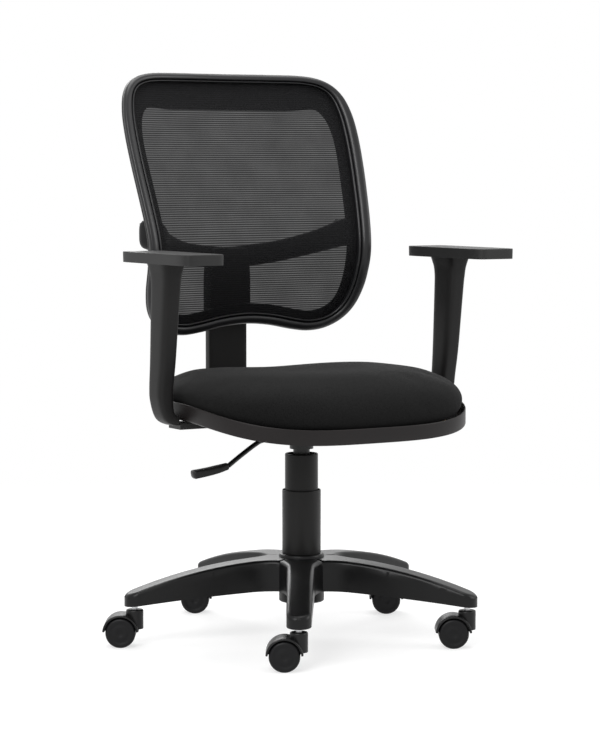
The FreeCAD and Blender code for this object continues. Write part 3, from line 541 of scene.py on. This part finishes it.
def coordinates(mesh):
    flat = np.empty(len(mesh.vertices) * 3, np.float32)
    mesh.vertices.foreach_get("co", flat)
    return flat.reshape(-1, 3).astype(float)


def inflate(piece, voxel, pressure, cap, hold_below):
    """Remesh evenly, puff with cloth under pressure, limit each point's travel and smooth."""
    remesh = piece.modifiers.new("remesh", "REMESH")
    remesh.mode = "VOXEL"
    remesh.voxel_size = voxel
    apply_modifiers(piece)
    rest = coordinates(piece.data)
    x, y = rest[:, 0] / SEAT_HALF[0], (rest[:, 1] - SEAT_CENTRE_Y) / SEAT_HALF[1]
    turn = np.arctan2(np.sign(y) * np.abs(y) ** 1.5, np.sign(x) * np.abs(x) ** 1.5)
    held = rest[:, 2] < rim_height(turn) + hold_below
    pins = piece.vertex_groups.new(name="held")
    pins.add(np.nonzero(held)[0].tolist(), 1.0, "REPLACE")
    cloth = piece.modifiers.new("cloth", "CLOTH")
    cloth.settings.use_pressure = True
    cloth.settings.uniform_pressure_force = pressure
    cloth.settings.effector_weights.gravity = 0.0
    cloth.settings.vertex_group_mass = "held"
    cloth.settings.quality = 5
    scene = bpy.context.scene
    for step in range(1, 21):
        scene.frame_set(step)
    apply_modifiers(piece)
    scene.frame_set(1)
    moved = coordinates(piece.data)
    travel = moved - rest
    length = np.linalg.norm(travel, axis=1, keepdims=True)
    travel *= np.minimum(1.0, cap / np.maximum(length, 1e-9))
    piece.data.vertices.foreach_set("co", (rest + travel).astype(np.float32).reshape(-1))
    relax = piece.modifiers.new("relax", "CORRECTIVE_SMOOTH")
    relax.use_only_smooth = True
    relax.iterations = 14
    finer = piece.modifiers.new("finer", "SUBSURF")
    finer.levels = 1
    finer.render_levels = 1
    apply_modifiers(piece)


# ------------------------------------------------------------------ back

BACK_LOW, BACK_HIGH, BACK_HALF = 501 * MM, 957 * MM, 228 * MM
LUMBAR = np.array([122, 650]) * MM
LEAN_UP, LEAN_DOWN, KNEE = 0.40, 0.45, 40 * MM
BOW_LOW, BOW_HIGH = 20 * MM, 40 * MM

# Right half of the back's outline: share of half width, share of height.
BACK_OUTLINE = [(0.0, 0.992), (0.40, 0.992), (0.68, 0.988), (0.84, 0.966), (0.938, 0.92), (0.988, 0.85),
                (1.004, 0.76), (0.998, 0.64), (0.978, 0.50), (0.958, 0.37), (0.950, 0.26), (0.936, 0.175),
                (0.892, 0.102), (0.81, 0.050), (0.69, 0.017), (0.55, 0.006), (0.40, 0.014), (0.20, 0.033), (0.0, 0.041)]


def back_depth(x, z):
    """Depth of the back's front surface: leaning lines with a round knee at the lumbar, bowed across."""
    step = z - LUMBAR[1]
    lean = np.where(step > 0, LEAN_UP, LEAN_DOWN)
    edge = LUMBAR[0] + lean * (np.sqrt(step ** 2 + KNEE ** 2) - KNEE)
    bow = BOW_LOW + (BOW_HIGH - BOW_LOW) * (z - BACK_LOW) / (BACK_HIGH - BACK_LOW)
    return edge + bow * (1 - (x / (BACK_HALF + 6 * MM)) ** 2)


def back_outline(count=360, soften=0):
    """Outline (x, z) of the back at even steps, and its inward unit normals, averaged over a few steps each way."""
    right = np.array(BACK_OUTLINE) * [BACK_HALF, BACK_HIGH - BACK_LOW] + [0, BACK_LOW]
    left = right[-2:0:-1] * [-1, 1]
    line = spline(np.vstack([right, left]), 2400, closed=True)
    loop = np.vstack([line, line[:1]])
    run = np.concatenate([[0], np.cumsum(np.linalg.norm(np.diff(loop, axis=0), axis=1))])
    even = np.linspace(0, run[-1], count, endpoint=False)
    line = np.stack([np.interp(even, run, loop[:, k]) for k in range(2)], axis=-1)
    along = unit(np.roll(line, -1, axis=0) - np.roll(line, 1, axis=0))
    inward = np.stack([along[:, 1], -along[:, 0]], axis=-1)
    inward = unit(sum(np.roll(inward, step, axis=0) for step in range(-soften, soften + 1)))
    return line, inward if np.dot(inward[0], [0, -1]) > 0 else -inward


def band_width(inward, side, top, low):
    """Width of a band that differs at the sides, top and bottom."""
    return side + (top - side) * np.clip(-inward[:, 1], 0, 1) ** 1.2 + (low - side) * np.clip(inward[:, 1], 0, 1) ** 2


def band(name, start, width, section, slot, nodes, soften=0, sharp=40.0):
    """Closed band round the back: section points are (share of the band's width, depth)."""
    line, inward = back_outline(soften=soften)
    section = np.asarray(section, float)
    reach = start + width[:, None] * section[None, :, 0]
    flat = line[:, None] + inward[:, None] * reach[..., None]
    y = back_depth(flat[..., 0], flat[..., 1]) + section[None, :, 1]
    points = np.stack([flat[..., 0], y, flat[..., 1]], axis=-1)
    piece = grid(name, points, loop_u=True, loop_v=True, sharp=sharp)
    return finish_piece(piece, slot, "back", *nodes)


def arc_section(x0, x1, d0, d1, count, power=2.0):
    """Points over a bump from (x0, d0) to (x1, d0) whose crest is at depth d1."""
    angle = np.linspace(0, np.pi, count)
    shape = np.sin(angle) ** (2 / power)
    mid, half = (x0 + x1) / 2, (x1 - x0) / 2
    return np.stack([mid - half * np.cos(angle), d0 + (d1 - d0) * shape], axis=-1)


def back_rim():
    """Front rim: broad rounded band, a fine groove and a thin bead beside the mesh."""
    _, inward = back_outline(soften=2)
    width = band_width(inward, 23 * MM, 15 * MM, 20 * MM)
    front = arc_section(0.0, 0.74, 1.5 * MM, -6 * MM, 15, 3.2)
    bead = arc_section(0.80, 1.0, 1.0 * MM, -2.6 * MM, 9, 2.0)
    rear = np.array([(1.0, 4.5 * MM), (0.985, 6 * MM), (0.03, 6 * MM), (0.0, 4.5 * MM)])
    return band("front_rim", 0.0, width, np.vstack([front, bead, rear]), "rim_plastic", ["back_rim"], 2, 50)


def back_frame():
    """Rear frame: wide flange behind the mesh, with a raised rib along its back."""
    _, inward = back_outline(soften=15)
    width = band_width(inward, 38 * MM, 64 * MM, 36 * MM) - 2 * MM
    section = [(0.0, 9.0), (0.02, 7.7), (0.97, 7.7), (0.99, 8.4), (1.0, 10.0), (1.0, 12.5), (0.98, 14.0),
               (0.80, 14.2), (0.74, 15.0), (0.66, 18.4), (0.58, 19.5), (0.22, 19.5), (0.10, 18.0), (0.03, 15.0),
               (0.0, 12.0)]
    section = np.array(section) * [1, MM]
    return band("rear_frame", 2 * MM, width, section, "frame_plastic", ["back_frame"], 15, 35)


def back_mesh():
    """Stretched net between the rim and the rear frame, as one sheet with its own weave map."""
    line, inward = back_outline(240)
    edge = line + inward * 7 * MM
    centre = np.array([0.0, 0.72])
    share = np.linspace(0, 1, 60)[:, None, None]
    flat = centre + (edge[None] - centre) * share
    y = back_depth(flat[..., 0], flat[..., 1]) + 6.8 * MM
    points = np.stack([flat[..., 0], y, flat[..., 1]], axis=-1)
    slope = np.gradient(back_depth(0.0, np.linspace(0.49, 0.97, 200)), np.linspace(0.49, 0.97, 200))
    run = np.concatenate([[0], np.cumsum(np.sqrt(1 + slope[:-1] ** 2) * 0.48 / 199)])
    chart = np.stack([flat[..., 0], np.interp(flat[..., 1], np.linspace(0.49, 0.97, 200), run)], axis=-1)
    piece = grid("net", points, loop_v=True, sharp=80, uv=chart)
    finish_piece(piece, "mesh_fabric", "back", "back_mesh")
    return piece


def bar_cover():
    """Soft-edged sleeve over the upright of the back bar."""
    z = 0.412 + 0.188 * dense(0.9, 40)
    centres = np.stack([0 * z, 0.258 + 0 * z, z], axis=-1)
    piece = tube("bar_sleeve", centres, np.broadcast_to([1.0, 0, 0], centres.shape),
                 np.broadcast_to([0, 1.0, 0], centres.shape), 38 * MM, 8.5 * MM, power=9, caps=(0.002, 0.002))
    return finish_piece(piece, "cover_plastic", "lift", "back_bar_cover")


def back_yoke():
    """Spine that slides on the bar's cover, and one bowed cross member whose ends hold the frame."""
    half = np.array([(0, 259, 633, 13, 19), (45, 256, 636, 13, 19), (95, 242, 643, 13, 19),
                     (150, 208, 659, 16, 20.5), (184, 178, 674, 22, 24), (204, 166, 680, 23, 26)]) * MM
    full = np.vstack([half[:0:-1] * [-1, 1, 1, 1, 1], half])
    path = spline(full, 121)
    centres = path[:, :3]
    across = unit(np.cross(np.gradient(centres, axis=0), [0, 0, 1.0]))
    up = np.broadcast_to([0, 0, 1.0], centres.shape)
    wings = tube("yoke_wings", centres, across, up, path[:, 3], path[:, 4], power=3.5, caps=(0.012, 0.012))
    finish_piece(wings, "frame_plastic", "back")
    z = 0.515 + 0.137 * dense(0.9, 50)
    spine_centres = np.stack([0 * z, 0.2545 + 0 * z, z], axis=-1)
    x_way = np.broadcast_to([1.0, 0, 0], spine_centres.shape)
    y_way = np.broadcast_to([0, 1.0, 0], spine_centres.shape)
    taper = 1 - 0.08 * smooth((z - 0.59) / 0.06)
    spine = tube("yoke_spine", spine_centres, x_way, y_way, 41 * MM * taper, 16.5 * MM, power=7, caps=(0.002, 0.006))
    return finish_piece(spine, "frame_plastic", "back", "back_yoke")


# ------------------------------------------------------------------ arms

def arm(side, label):
    """Post swept from the flared head down and round the elbow, with its pad on top."""
    stations = np.array([
        (275, -36, 637.5, 0, 21.5, 36), (275, -36, 630, 0, 19.3, 34), (275, -36, 620, 0, 17, 31.5),
        (275, -35.5, 606, 0, 15.9, 29.8), (275, -34, 590, 0, 15.5, 28.8), (275, -30, 545, 0, 15.0, 27),
        (275, -24, 480, 0, 14.4, 24.4), (275, -18, 436, 0, 14, 21.8), (274, -16.5, 416, 12, 13.4, 21.2),
        (268.5, -16, 393.5, 42, 12.0, 21.0), (259, -16, 384, 75, 9.4, 20.8), (250, -16, 382, 90, 7.8, 20.4)])
    path = spline(stations, 110)
    centres = path[:, :3] * [side * MM, MM, MM]
    angle = np.radians(path[:, 3])
    across = np.stack([side * np.cos(angle), 0 * angle, -np.sin(angle)], axis=-1)
    along = np.broadcast_to([0, 1.0, 0], centres.shape)
    post = tube("arm_stem_" + label, centres, across, along, path[:, 4] * MM, path[:, 5] * MM, power=4.6,
                caps=(0, 0.0015), around=72)
    finish_piece(post, "arm_plastic", "lift", "arm_post_" + label)
    arm_pad(side, label)


def arm_pad(side, label):
    """Flat pad: rounded plan, straight sides drawn in below, softly crowned top."""
    low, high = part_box("arm_pad_" + label)
    centre = (np.array(low) + np.array(high)) / 2
    half = (np.array(high) - np.array(low)) / 2
    x, y = superellipse(200, 9.0)
    rows = []
    steps = [(0.0, 0.0, 0), (0.86, 0.0, 0), (0.955, 0.0, 0), (0.972, 1.2, 0), (0.985, 6.0, 0), (1.0, 13.0, 0),
             (0.9995, 14.8, 0), (0.993, 16.0, 0), (0.98, 16.7, 0), (0.955, 16.95, 0), (0.9, 17.0, 0), (0.6, 17.0, 0),
             (0.0, 17.0, 0)]
    steps = spline(np.array(steps)[:, :2], 60)
    for share, height in steps:
        pull = (1 - share) * half.min()
        plan = np.stack([x * (half[0] - pull), y * (half[1] - pull)], axis=-1) if share > 0.5 else np.stack(
            [x * half[0] * share, y * (half[1] - half.min() * 0.5) * share / 0.5], axis=-1)
        rows.append(np.stack([centre[0] + plan[:, 0], centre[1] + plan[:, 1],
                              low[2] + height * MM + 0 * x], axis=-1))
    piece = grid("arm_rest_" + label, np.array(rows), loop_v=True, sharp=50)
    return finish_piece(piece, "pad_plastic", "lift", "arm_pad_" + label)


# ------------------------------------------------------------------ lever

def lever():
    """Bent round rod on its cross pin, and a flat paddle, slightly bowed, with a blunt round tip."""
    corners = np.array([(0, 0, 358.7), (-18, -24, 357), (-39, -49, 355), (-59, -62, 349), (-84, -62.5, 347.5),
                        (-112, -63, 345.5), (-128, -66, 340), (-158, -72, 324.5), (-186, -78, 309)]) * MM
    path = spline(corners, 120)
    way = unit(np.gradient(path, axis=0))
    across = unit(np.cross(way, [0, 0, 1.0]))
    rod = tube("lever_bar", path, across, np.cross(across, way), 3.95 * MM, 3.95 * MM, power=2,
               caps=(0.002, 0.002), around=28)
    finish_piece(rod, "black_steel", "lever", "lever_rod")
    pin = tube("lever_pin", np.linspace([-0.059, -0.0758, 0.349], [-0.059, -0.0482, 0.349], 12),
               *np.broadcast_to(np.array([[1.0, 0, 0], [0, 0, 1.0]])[:, None], (2, 12, 3)),
               2.95 * MM, 2.95 * MM, power=2, caps=(0.001, 0.001), around=28)
    finish_piece(pin, "black_steel", "lever")
    start, stop = np.array([-0.184, -0.0778, 0.3098]), np.array([-0.2465, -0.068, 0.2978])
    share = dense(0.6)
    bow = np.sin(share * np.pi) * -1.2 * MM
    centres = start + (stop - start) * share[:, None] + np.array([0, 0, 1.0]) * bow[:, None]
    run = unit(stop - start)
    across = unit(np.cross(run, [0, 0, 1.0]))
    width = (6 + 6.5 * smooth(share / 0.35) - 1.0 * smooth((share - 0.5) / 0.5)) * MM
    thick = (5.6 + 1.5 * share) * MM
    shape = (len(share), 3)
    paddle = tube("lever_grip", centres, np.broadcast_to(across, shape),
                  np.broadcast_to(np.cross(across, run), shape), width, thick, power=3.4, caps=(0.004, 0.004))
    finish_piece(paddle, "cover_plastic", "lever", "lever_paddle")


# ------------------------------------------------------------------ base and column

ARM_COUNT = 5
FIRST_ARM = math.radians(-121.8)
ARM_LENGTH = 306 * MM
STEM_CIRCLE = 289 * MM
WEB_RADIUS, WEB_END = 62 * MM, 96 * MM
EDGE_ROUND = 7 * MM


def arch(radius, root, middle, tip):
    """Parabola through three heights: on the axis, at 0.57 of the arm and 5 mm past its end."""
    places = np.array([0, 0.57 * ARM_LENGTH, ARM_LENGTH + 5 * MM])
    return np.polyval(np.polyfit(places, np.array([root, middle, tip]) * MM, 2), radius)


def star_half_width(along):
    """Half width of one arm along its axis: a wedge at the hub, a concave web, then a slow taper."""
    corner = WEB_RADIUS * math.cos(math.pi / ARM_COUNT)
    side = WEB_RADIUS * math.sin(math.pi / ARM_COUNT)
    wedge = along * math.tan(math.pi / ARM_COUNT)
    web = 23 * MM + (side - 23 * MM) * np.clip((WEB_END - along) / (WEB_END - corner), 0, 1) ** 2
    taper = (23 - 3 * np.clip((along - WEB_END) / (ARM_LENGTH - 20 * MM - WEB_END), 0, 1)) * MM
    width = np.where(along < corner, wedge, np.where(along < WEB_END, web, taper))
    tip = np.clip((along - (ARM_LENGTH - 20 * MM)) / (20 * MM), 0, 1)
    return width * np.sqrt(np.clip(1 - tip ** 2, 0, 1))


def star_arm(index):
    """One fifth of the star: rounded top, upright walls, and a channel open below."""
    along = np.concatenate([[0.0, 0.02, 0.035], np.linspace(0.0501, 0.285, 70),
                            ARM_LENGTH - 20 * MM * (1 - np.sin(np.linspace(0.03, np.pi / 2, 22)))])
    half = star_half_width(along)
    across = np.sin(np.linspace(-1, 1, 41) * np.pi / 2)
    y = half[:, None] * across
    x = np.broadcast_to(along[:, None], y.shape)
    radius = np.hypot(x, y)
    # distance to the outline, measured over this arm's two sides
    line_x = np.linspace(0.0502, ARM_LENGTH, 900)
    line_y = star_half_width(line_x)
    gap = np.abs(y)[..., None] - line_y
    near = np.sqrt(np.min((x[..., None] - line_x) ** 2 + gap ** 2, axis=-1))
    edge = np.clip(EDGE_ROUND - near, 0, EDGE_ROUND)
    top = arch(radius, 137, 124, 85) - (EDGE_ROUND - np.sqrt(EDGE_ROUND ** 2 - edge ** 2)) * 0.9
    low = arch(radius, 87, 79, 67)
    wall = np.minimum(4 * MM, half * 0.9)
    room = smooth((along - 0.062) / 0.004) * smooth((0.279 - along) / 0.006)
    inner = np.clip(half - wall, 0, None)
    inner_y = inner[:, None] * np.linspace(1, -1, 15)
    inner_r = np.hypot(along[:, None], inner_y)
    base = arch(inner_r, 87, 79, 67)
    roof = base + (arch(inner_r, 137, 124, 85) - 5 * MM - base) * room[:, None]

    def side(sign, heights):
        edge_y = sign * half
        r = np.hypot(along, edge_y)
        bottom, crest = arch(r, 87, 79, 67), top[:, -1 if sign > 0 else 0]
        return [np.stack([along, edge_y, bottom + (crest - bottom) * share], axis=-1) for share in heights]

    def lip(sign):
        floor = arch(np.hypot(along, inner), 87, 79, 67)
        return np.stack([along, sign * inner, floor], axis=-1)

    rows = [np.stack([x[:, k], y[:, k], top[:, k]], axis=-1) for k in range(41)]
    rows += side(1, (0.75, 0.4, 0.06, 0.0)) + [lip(1)]
    rows += [np.stack([along, inner_y[:, k], roof[:, k]], axis=-1) for k in range(15)]
    rows += [lip(-1)] + side(-1, (0.0, 0.06, 0.4, 0.75))
    points = np.stack(rows, axis=1)
    turn = FIRST_ARM + index * 2 * math.pi / ARM_COUNT
    cosine, sine = math.cos(turn), math.sin(turn)
    points = np.stack([points[..., 0] * cosine - points[..., 1] * sine,
                       points[..., 0] * sine + points[..., 1] * cosine, points[..., 2]], axis=-1)
    piece = grid("star_arm_%d" % (index + 1), points, loop_v=True, sharp=42)
    return finish_piece(piece, "base_plastic", "base")


def star_ribs(index):
    """Cross ribs in the arm's channel."""
    turn = FIRST_ARM + index * 2 * math.pi / ARM_COUNT
    out = np.array([math.cos(turn), math.sin(turn), 0])
    side = np.array([-out[1], out[0], 0])
    for number, radius in enumerate((112, 157, 202, 242)):
        reach = radius * MM
        low, high = arch(reach, 87, 79, 67) + 6 * MM, arch(reach, 137, 124, 85) - 4.5 * MM
        centres = out * reach + np.array([0, 0, 1.0]) * np.linspace(low, high, 6)[:, None]
        rib = tube("star_rib_%d_%d" % (index + 1, number + 1), centres, np.broadcast_to(side, (6, 3)),
                   np.broadcast_to(out, (6, 3)), star_half_width(np.array([reach]))[0] - 2 * MM, 1.8 * MM, power=12)
        finish_piece(rib, "base_plastic", "base")


def star():
    """Five arms, their ribs, and the hub with a rolled lip round the column."""
    for index in range(ARM_COUNT):
        star_arm(index)
        star_ribs(index)
    profile = np.array([(12, 66), (12, 62.6), (12.6, 62), (36.5, 62), (38, 63.5), (38, 128), (44, 133.4), (40.5, 135.2),
                        (38.4, 137.5), (38, 140.5), (37.6, 141.8), (36.6, 142.7), (35.2, 143), (25.1, 143),
                        (25.05, 142.6), (25.05, 66)]) * MM
    hub = lathe("star_hub", profile[::-1], (0, 0, 0), loop=True, sharp=32)
    finish_piece(hub, "base_plastic", "base", "base_star")


def column():
    """Two telescoping sleeves with rolled lips round the standpipe."""
    lower = np.array([(25.5, 143), (31.6, 143), (32.3, 143.4), (32.5, 144.2), (32.5, 248.6), (32.35, 249.9),
                      (31.9, 250.7), (31.5, 251), (31.1, 250.6), (31, 249.6), (31, 146), (25.5, 146)]) * MM
    piece = lathe("lower_sleeve", lower[::-1], (0, 0, 0), loop=True, sharp=32)
    finish_piece(piece, "cover_plastic", "base", "column_cover_lower")
    upper = np.array([(26.3, 176), (30.5, 176), (30.5, 178), (27.8, 178), (27.8, 309.6), (27.6, 311), (27.0, 311.8),
                      (26.2, 312), (25.5, 312), (25.4, 311.6), (25.4, 310), (26.3, 310)]) * MM
    piece = lathe("upper_sleeve", upper[::-1], (0, 0, 0), loop=True, sharp=32)
    finish_piece(piece, "cover_plastic", "cover", "column_cover_upper")


# ------------------------------------------------------------------ casters

AXLE_TURN = math.radians(59)
TRAIL = 22.7 * MM
WHEEL_RADIUS = 25 * MM


def caster_place(points, index):
    """Move points from a caster's own frame (axle along X, stem on Z) to its place under an arm."""
    turn = FIRST_ARM + index * 2 * math.pi / ARM_COUNT
    cosine, sine = math.cos(AXLE_TURN), math.sin(AXLE_TURN)
    return np.stack([points[..., 0] * cosine - points[..., 1] * sine + STEM_CIRCLE * math.cos(turn),
                     points[..., 0] * sine + points[..., 1] * cosine + STEM_CIRCLE * math.sin(turn),
                     points[..., 2]], axis=-1)


def around_axle(profile, angles):
    """Sweep (radius, x) points about the axle line; an angle of 90 degrees is straight up."""
    profile = np.asarray(profile, float) * MM
    y = TRAIL + np.cos(angles)[:, None] * profile[:, 0]
    z = WHEEL_RADIUS + np.sin(angles)[:, None] * profile[:, 0]
    return np.stack([np.broadcast_to(profile[:, 1], y.shape), y, z], axis=-1)


def caster(index):
    """Round fender with soft edges over both wheels, the stem's block, and two dished wheels."""
    name = "caster_%d" % (index + 1)
    shell = [(26.6, -22.6), (26.9, -23), (28.6, -23), (29.5, -22.5), (30, -21.2), (30, -10), (30, 0), (30, 10),
             (30, 21.2), (29.5, 22.5), (28.6, 23), (26.9, 23), (26.6, 22.6), (26.5, 6), (14, 5.6), (13.4, 0),
             (14, -5.6), (26.5, -6)]
    angles = np.radians(np.linspace(4.2, 175.8, 64))
    points = around_axle(shell, angles)
    ends = [row.mean(axis=0, keepdims=True).repeat(len(shell), axis=0)[None] for row in (points[0], points[-1])]
    fender = grid(name + "_fender", caster_place(np.concatenate([ends[0], points, ends[1]]), index), loop_v=True,
                  sharp=42)
    finish_piece(fender, "caster_plastic", name)
    z = np.array([30, 44, 50, 53, 56, 59, 60.6, 61.6, 62, 62]) * MM
    reach = np.array([14.4, 14.4, 14.4, 14.45, 14.5, 14.5, 14.2, 13.4, 12, 0.0]) * MM
    turn = np.linspace(0, 2 * np.pi, 48, endpoint=False)
    block = np.stack([reach[:, None] * np.cos(turn), reach[:, None] * np.sin(turn),
                      np.broadcast_to(z[:, None], (len(z), 48))], axis=-1)
    block = np.concatenate([np.array([0, 0, z[0]]) + 0 * block[:1], block])
    finish_piece(grid(name + "_block", caster_place(block, index), loop_v=True, sharp=42), "caster_plastic", name,
                 name + "_hood")
    tread = [(0.0, 21.4), (4.0, 21.5), (5.5, 22.2), (8.0, 22.6), (11.0, 22.5), (13.5, 21.6), (16.0, 21.5),
             (18.0, 22.4), (20.5, 22.9), (22.8, 22.2), (24.4, 20.4), (25.0, 18.0), (25.0, 9.0), (24.6, 7.0),
             (23.5, 6.0), (3.06, 6.0), (3.06, 19.0), (0.0, 19.0)]
    full = np.linspace(0, 2 * np.pi, 72, endpoint=False)
    for side, sign in (("a", -1), ("b", 1)):
        profile = np.array(tread) * [1, sign]
        wheel = grid(name + "_disc_" + side, caster_place(around_axle(profile, full), index), loop_u=True, sharp=38)
        finish_piece(wheel, "wheel_plastic", name + "_roller_" + side, name + "_wheel_" + side)


# ------------------------------------------------------------------ stage, light and camera

def stage():
    """Pale floor that fades into a white surround."""
    bpy.ops.mesh.primitive_circle_add(vertices=96, radius=4.0, fill_type="NGON", location=(0, 0, 0))
    floor = bpy.context.object
    floor.name = "studio_floor"
    material, tree, shader, vector = blank("studio_floor")
    shader.inputs["Base Color"].default_value = (0.42, 0.42, 0.42, 1)
    shader.inputs["Roughness"].default_value = 0.8
    shader.inputs["Specular IOR Level"].default_value = 0.1
    shader.inputs["Emission Color"].default_value = (1, 1, 1, 1)
    paths = tree.nodes.new("ShaderNodeLightPath")
    seen = maths(tree, "MAXIMUM", paths.outputs["Is Camera Ray"], paths.outputs["Is Transmission Ray"])
    seen = maths(tree, "MAXIMUM", seen, paths.outputs["Is Glossy Ray"])
    tree.links.new(maths(tree, "MULTIPLY", seen, 0.64), shader.inputs["Emission Strength"])
    length = tree.nodes.new("ShaderNodeVectorMath")
    length.operation = "LENGTH"
    tree.links.new(vector, length.inputs[0])
    fade = tree.nodes.new("ShaderNodeMapRange")
    fade.interpolation_type = "SMOOTHSTEP"
    fade.inputs["From Min"].default_value = 0.7
    fade.inputs["From Max"].default_value = 2.2
    fade.inputs["To Min"].default_value = 1.0
    fade.inputs["To Max"].default_value = 0.0
    tree.links.new(length.outputs["Value"], fade.inputs["Value"])
    tree.links.new(fade.outputs["Result"], shader.inputs["Alpha"])
    floor.data.materials.append(material)


def surround():
    """World: white to the camera, mirrors and glass; an even grey light to everything else."""
    world = bpy.data.worlds.new("surround")
    bpy.context.scene.world = world
    world.use_nodes = True
    tree = world.node_tree
    light = tree.nodes["Background"]
    light.inputs["Color"].default_value = (1.0, 1.0, 1.0, 1)
    paths = tree.nodes.new("ShaderNodeLightPath")
    seen = maths(tree, "MAXIMUM", paths.outputs["Is Camera Ray"], paths.outputs["Is Transmission Ray"])
    seen = maths(tree, "MAXIMUM", seen, paths.outputs["Is Glossy Ray"])
    level = tree.nodes.new("ShaderNodeMix")
    level.data_type = "FLOAT"
    tree.links.new(seen, level.inputs["Factor"])
    level.inputs["A"].default_value = WORLD_LIGHT
    level.inputs["B"].default_value = 1.0
    tree.links.new(level.outputs["Result"], light.inputs["Strength"])


WORLD_LIGHT = 0.55


def softbox(name, place, aim, size, power):
    """Rectangular studio light that faces a point."""
    lamp = bpy.data.lights.new(name, "AREA")
    lamp.shape = "RECTANGLE"
    lamp.size, lamp.size_y = size
    lamp.energy = power
    holder = bpy.data.objects.new(name, lamp)
    bpy.context.scene.collection.objects.link(holder)
    away = np.array(place) - np.array(aim)
    flat = math.hypot(away[0], away[1])
    holder.location = place
    holder.rotation_euler = (math.atan2(flat, away[2]), 0, math.atan2(away[0], -away[1]))


def lights():
    softbox("key", (-2.2, -1.6, 2.3), (0, 0, 0.5), (1.6, 1.6), 60)
    softbox("fill", (2.6, -1.8, 1.8), (0, 0, 0.5), (1.4, 1.8), 30)
    softbox("top", (0.2, 0.4, 3.0), (0, 0, 0.4), (2.0, 2.0), 45)
    softbox("back", (0.8, 2.8, 1.8), (0, 0, 0.6), (2.0, 1.4), 30)


def camera():
    """Long lens at chest height, 31 degrees round to the sitter's right."""
    lens = bpy.data.cameras.new("camera")
    lens.sensor_width = 36
    lens.lens = 120.66
    lens.shift_x = -0.002
    holder = bpy.data.objects.new("camera", lens)
    bpy.context.scene.collection.objects.link(holder)
    turn = math.radians(31)
    holder.location = (-4.2 * math.sin(turn), -4.2 * math.cos(turn), 0.793)
    holder.rotation_euler = (math.pi / 2 - 0.083, 0, -turn)
    bpy.context.scene.camera = holder


bpy.context.scene.view_settings.view_transform = "Standard"
stage()
surround()
lights()
camera()
dress_nodes()
seat_shell()
seat_cushion()
back_rim()
back_frame()
back_mesh()
back_yoke()
bar_cover()
arm(-1, "right")
arm(1, "left")
lever()
star()
column()
for index in range(ARM_COUNT):
    caster(index)
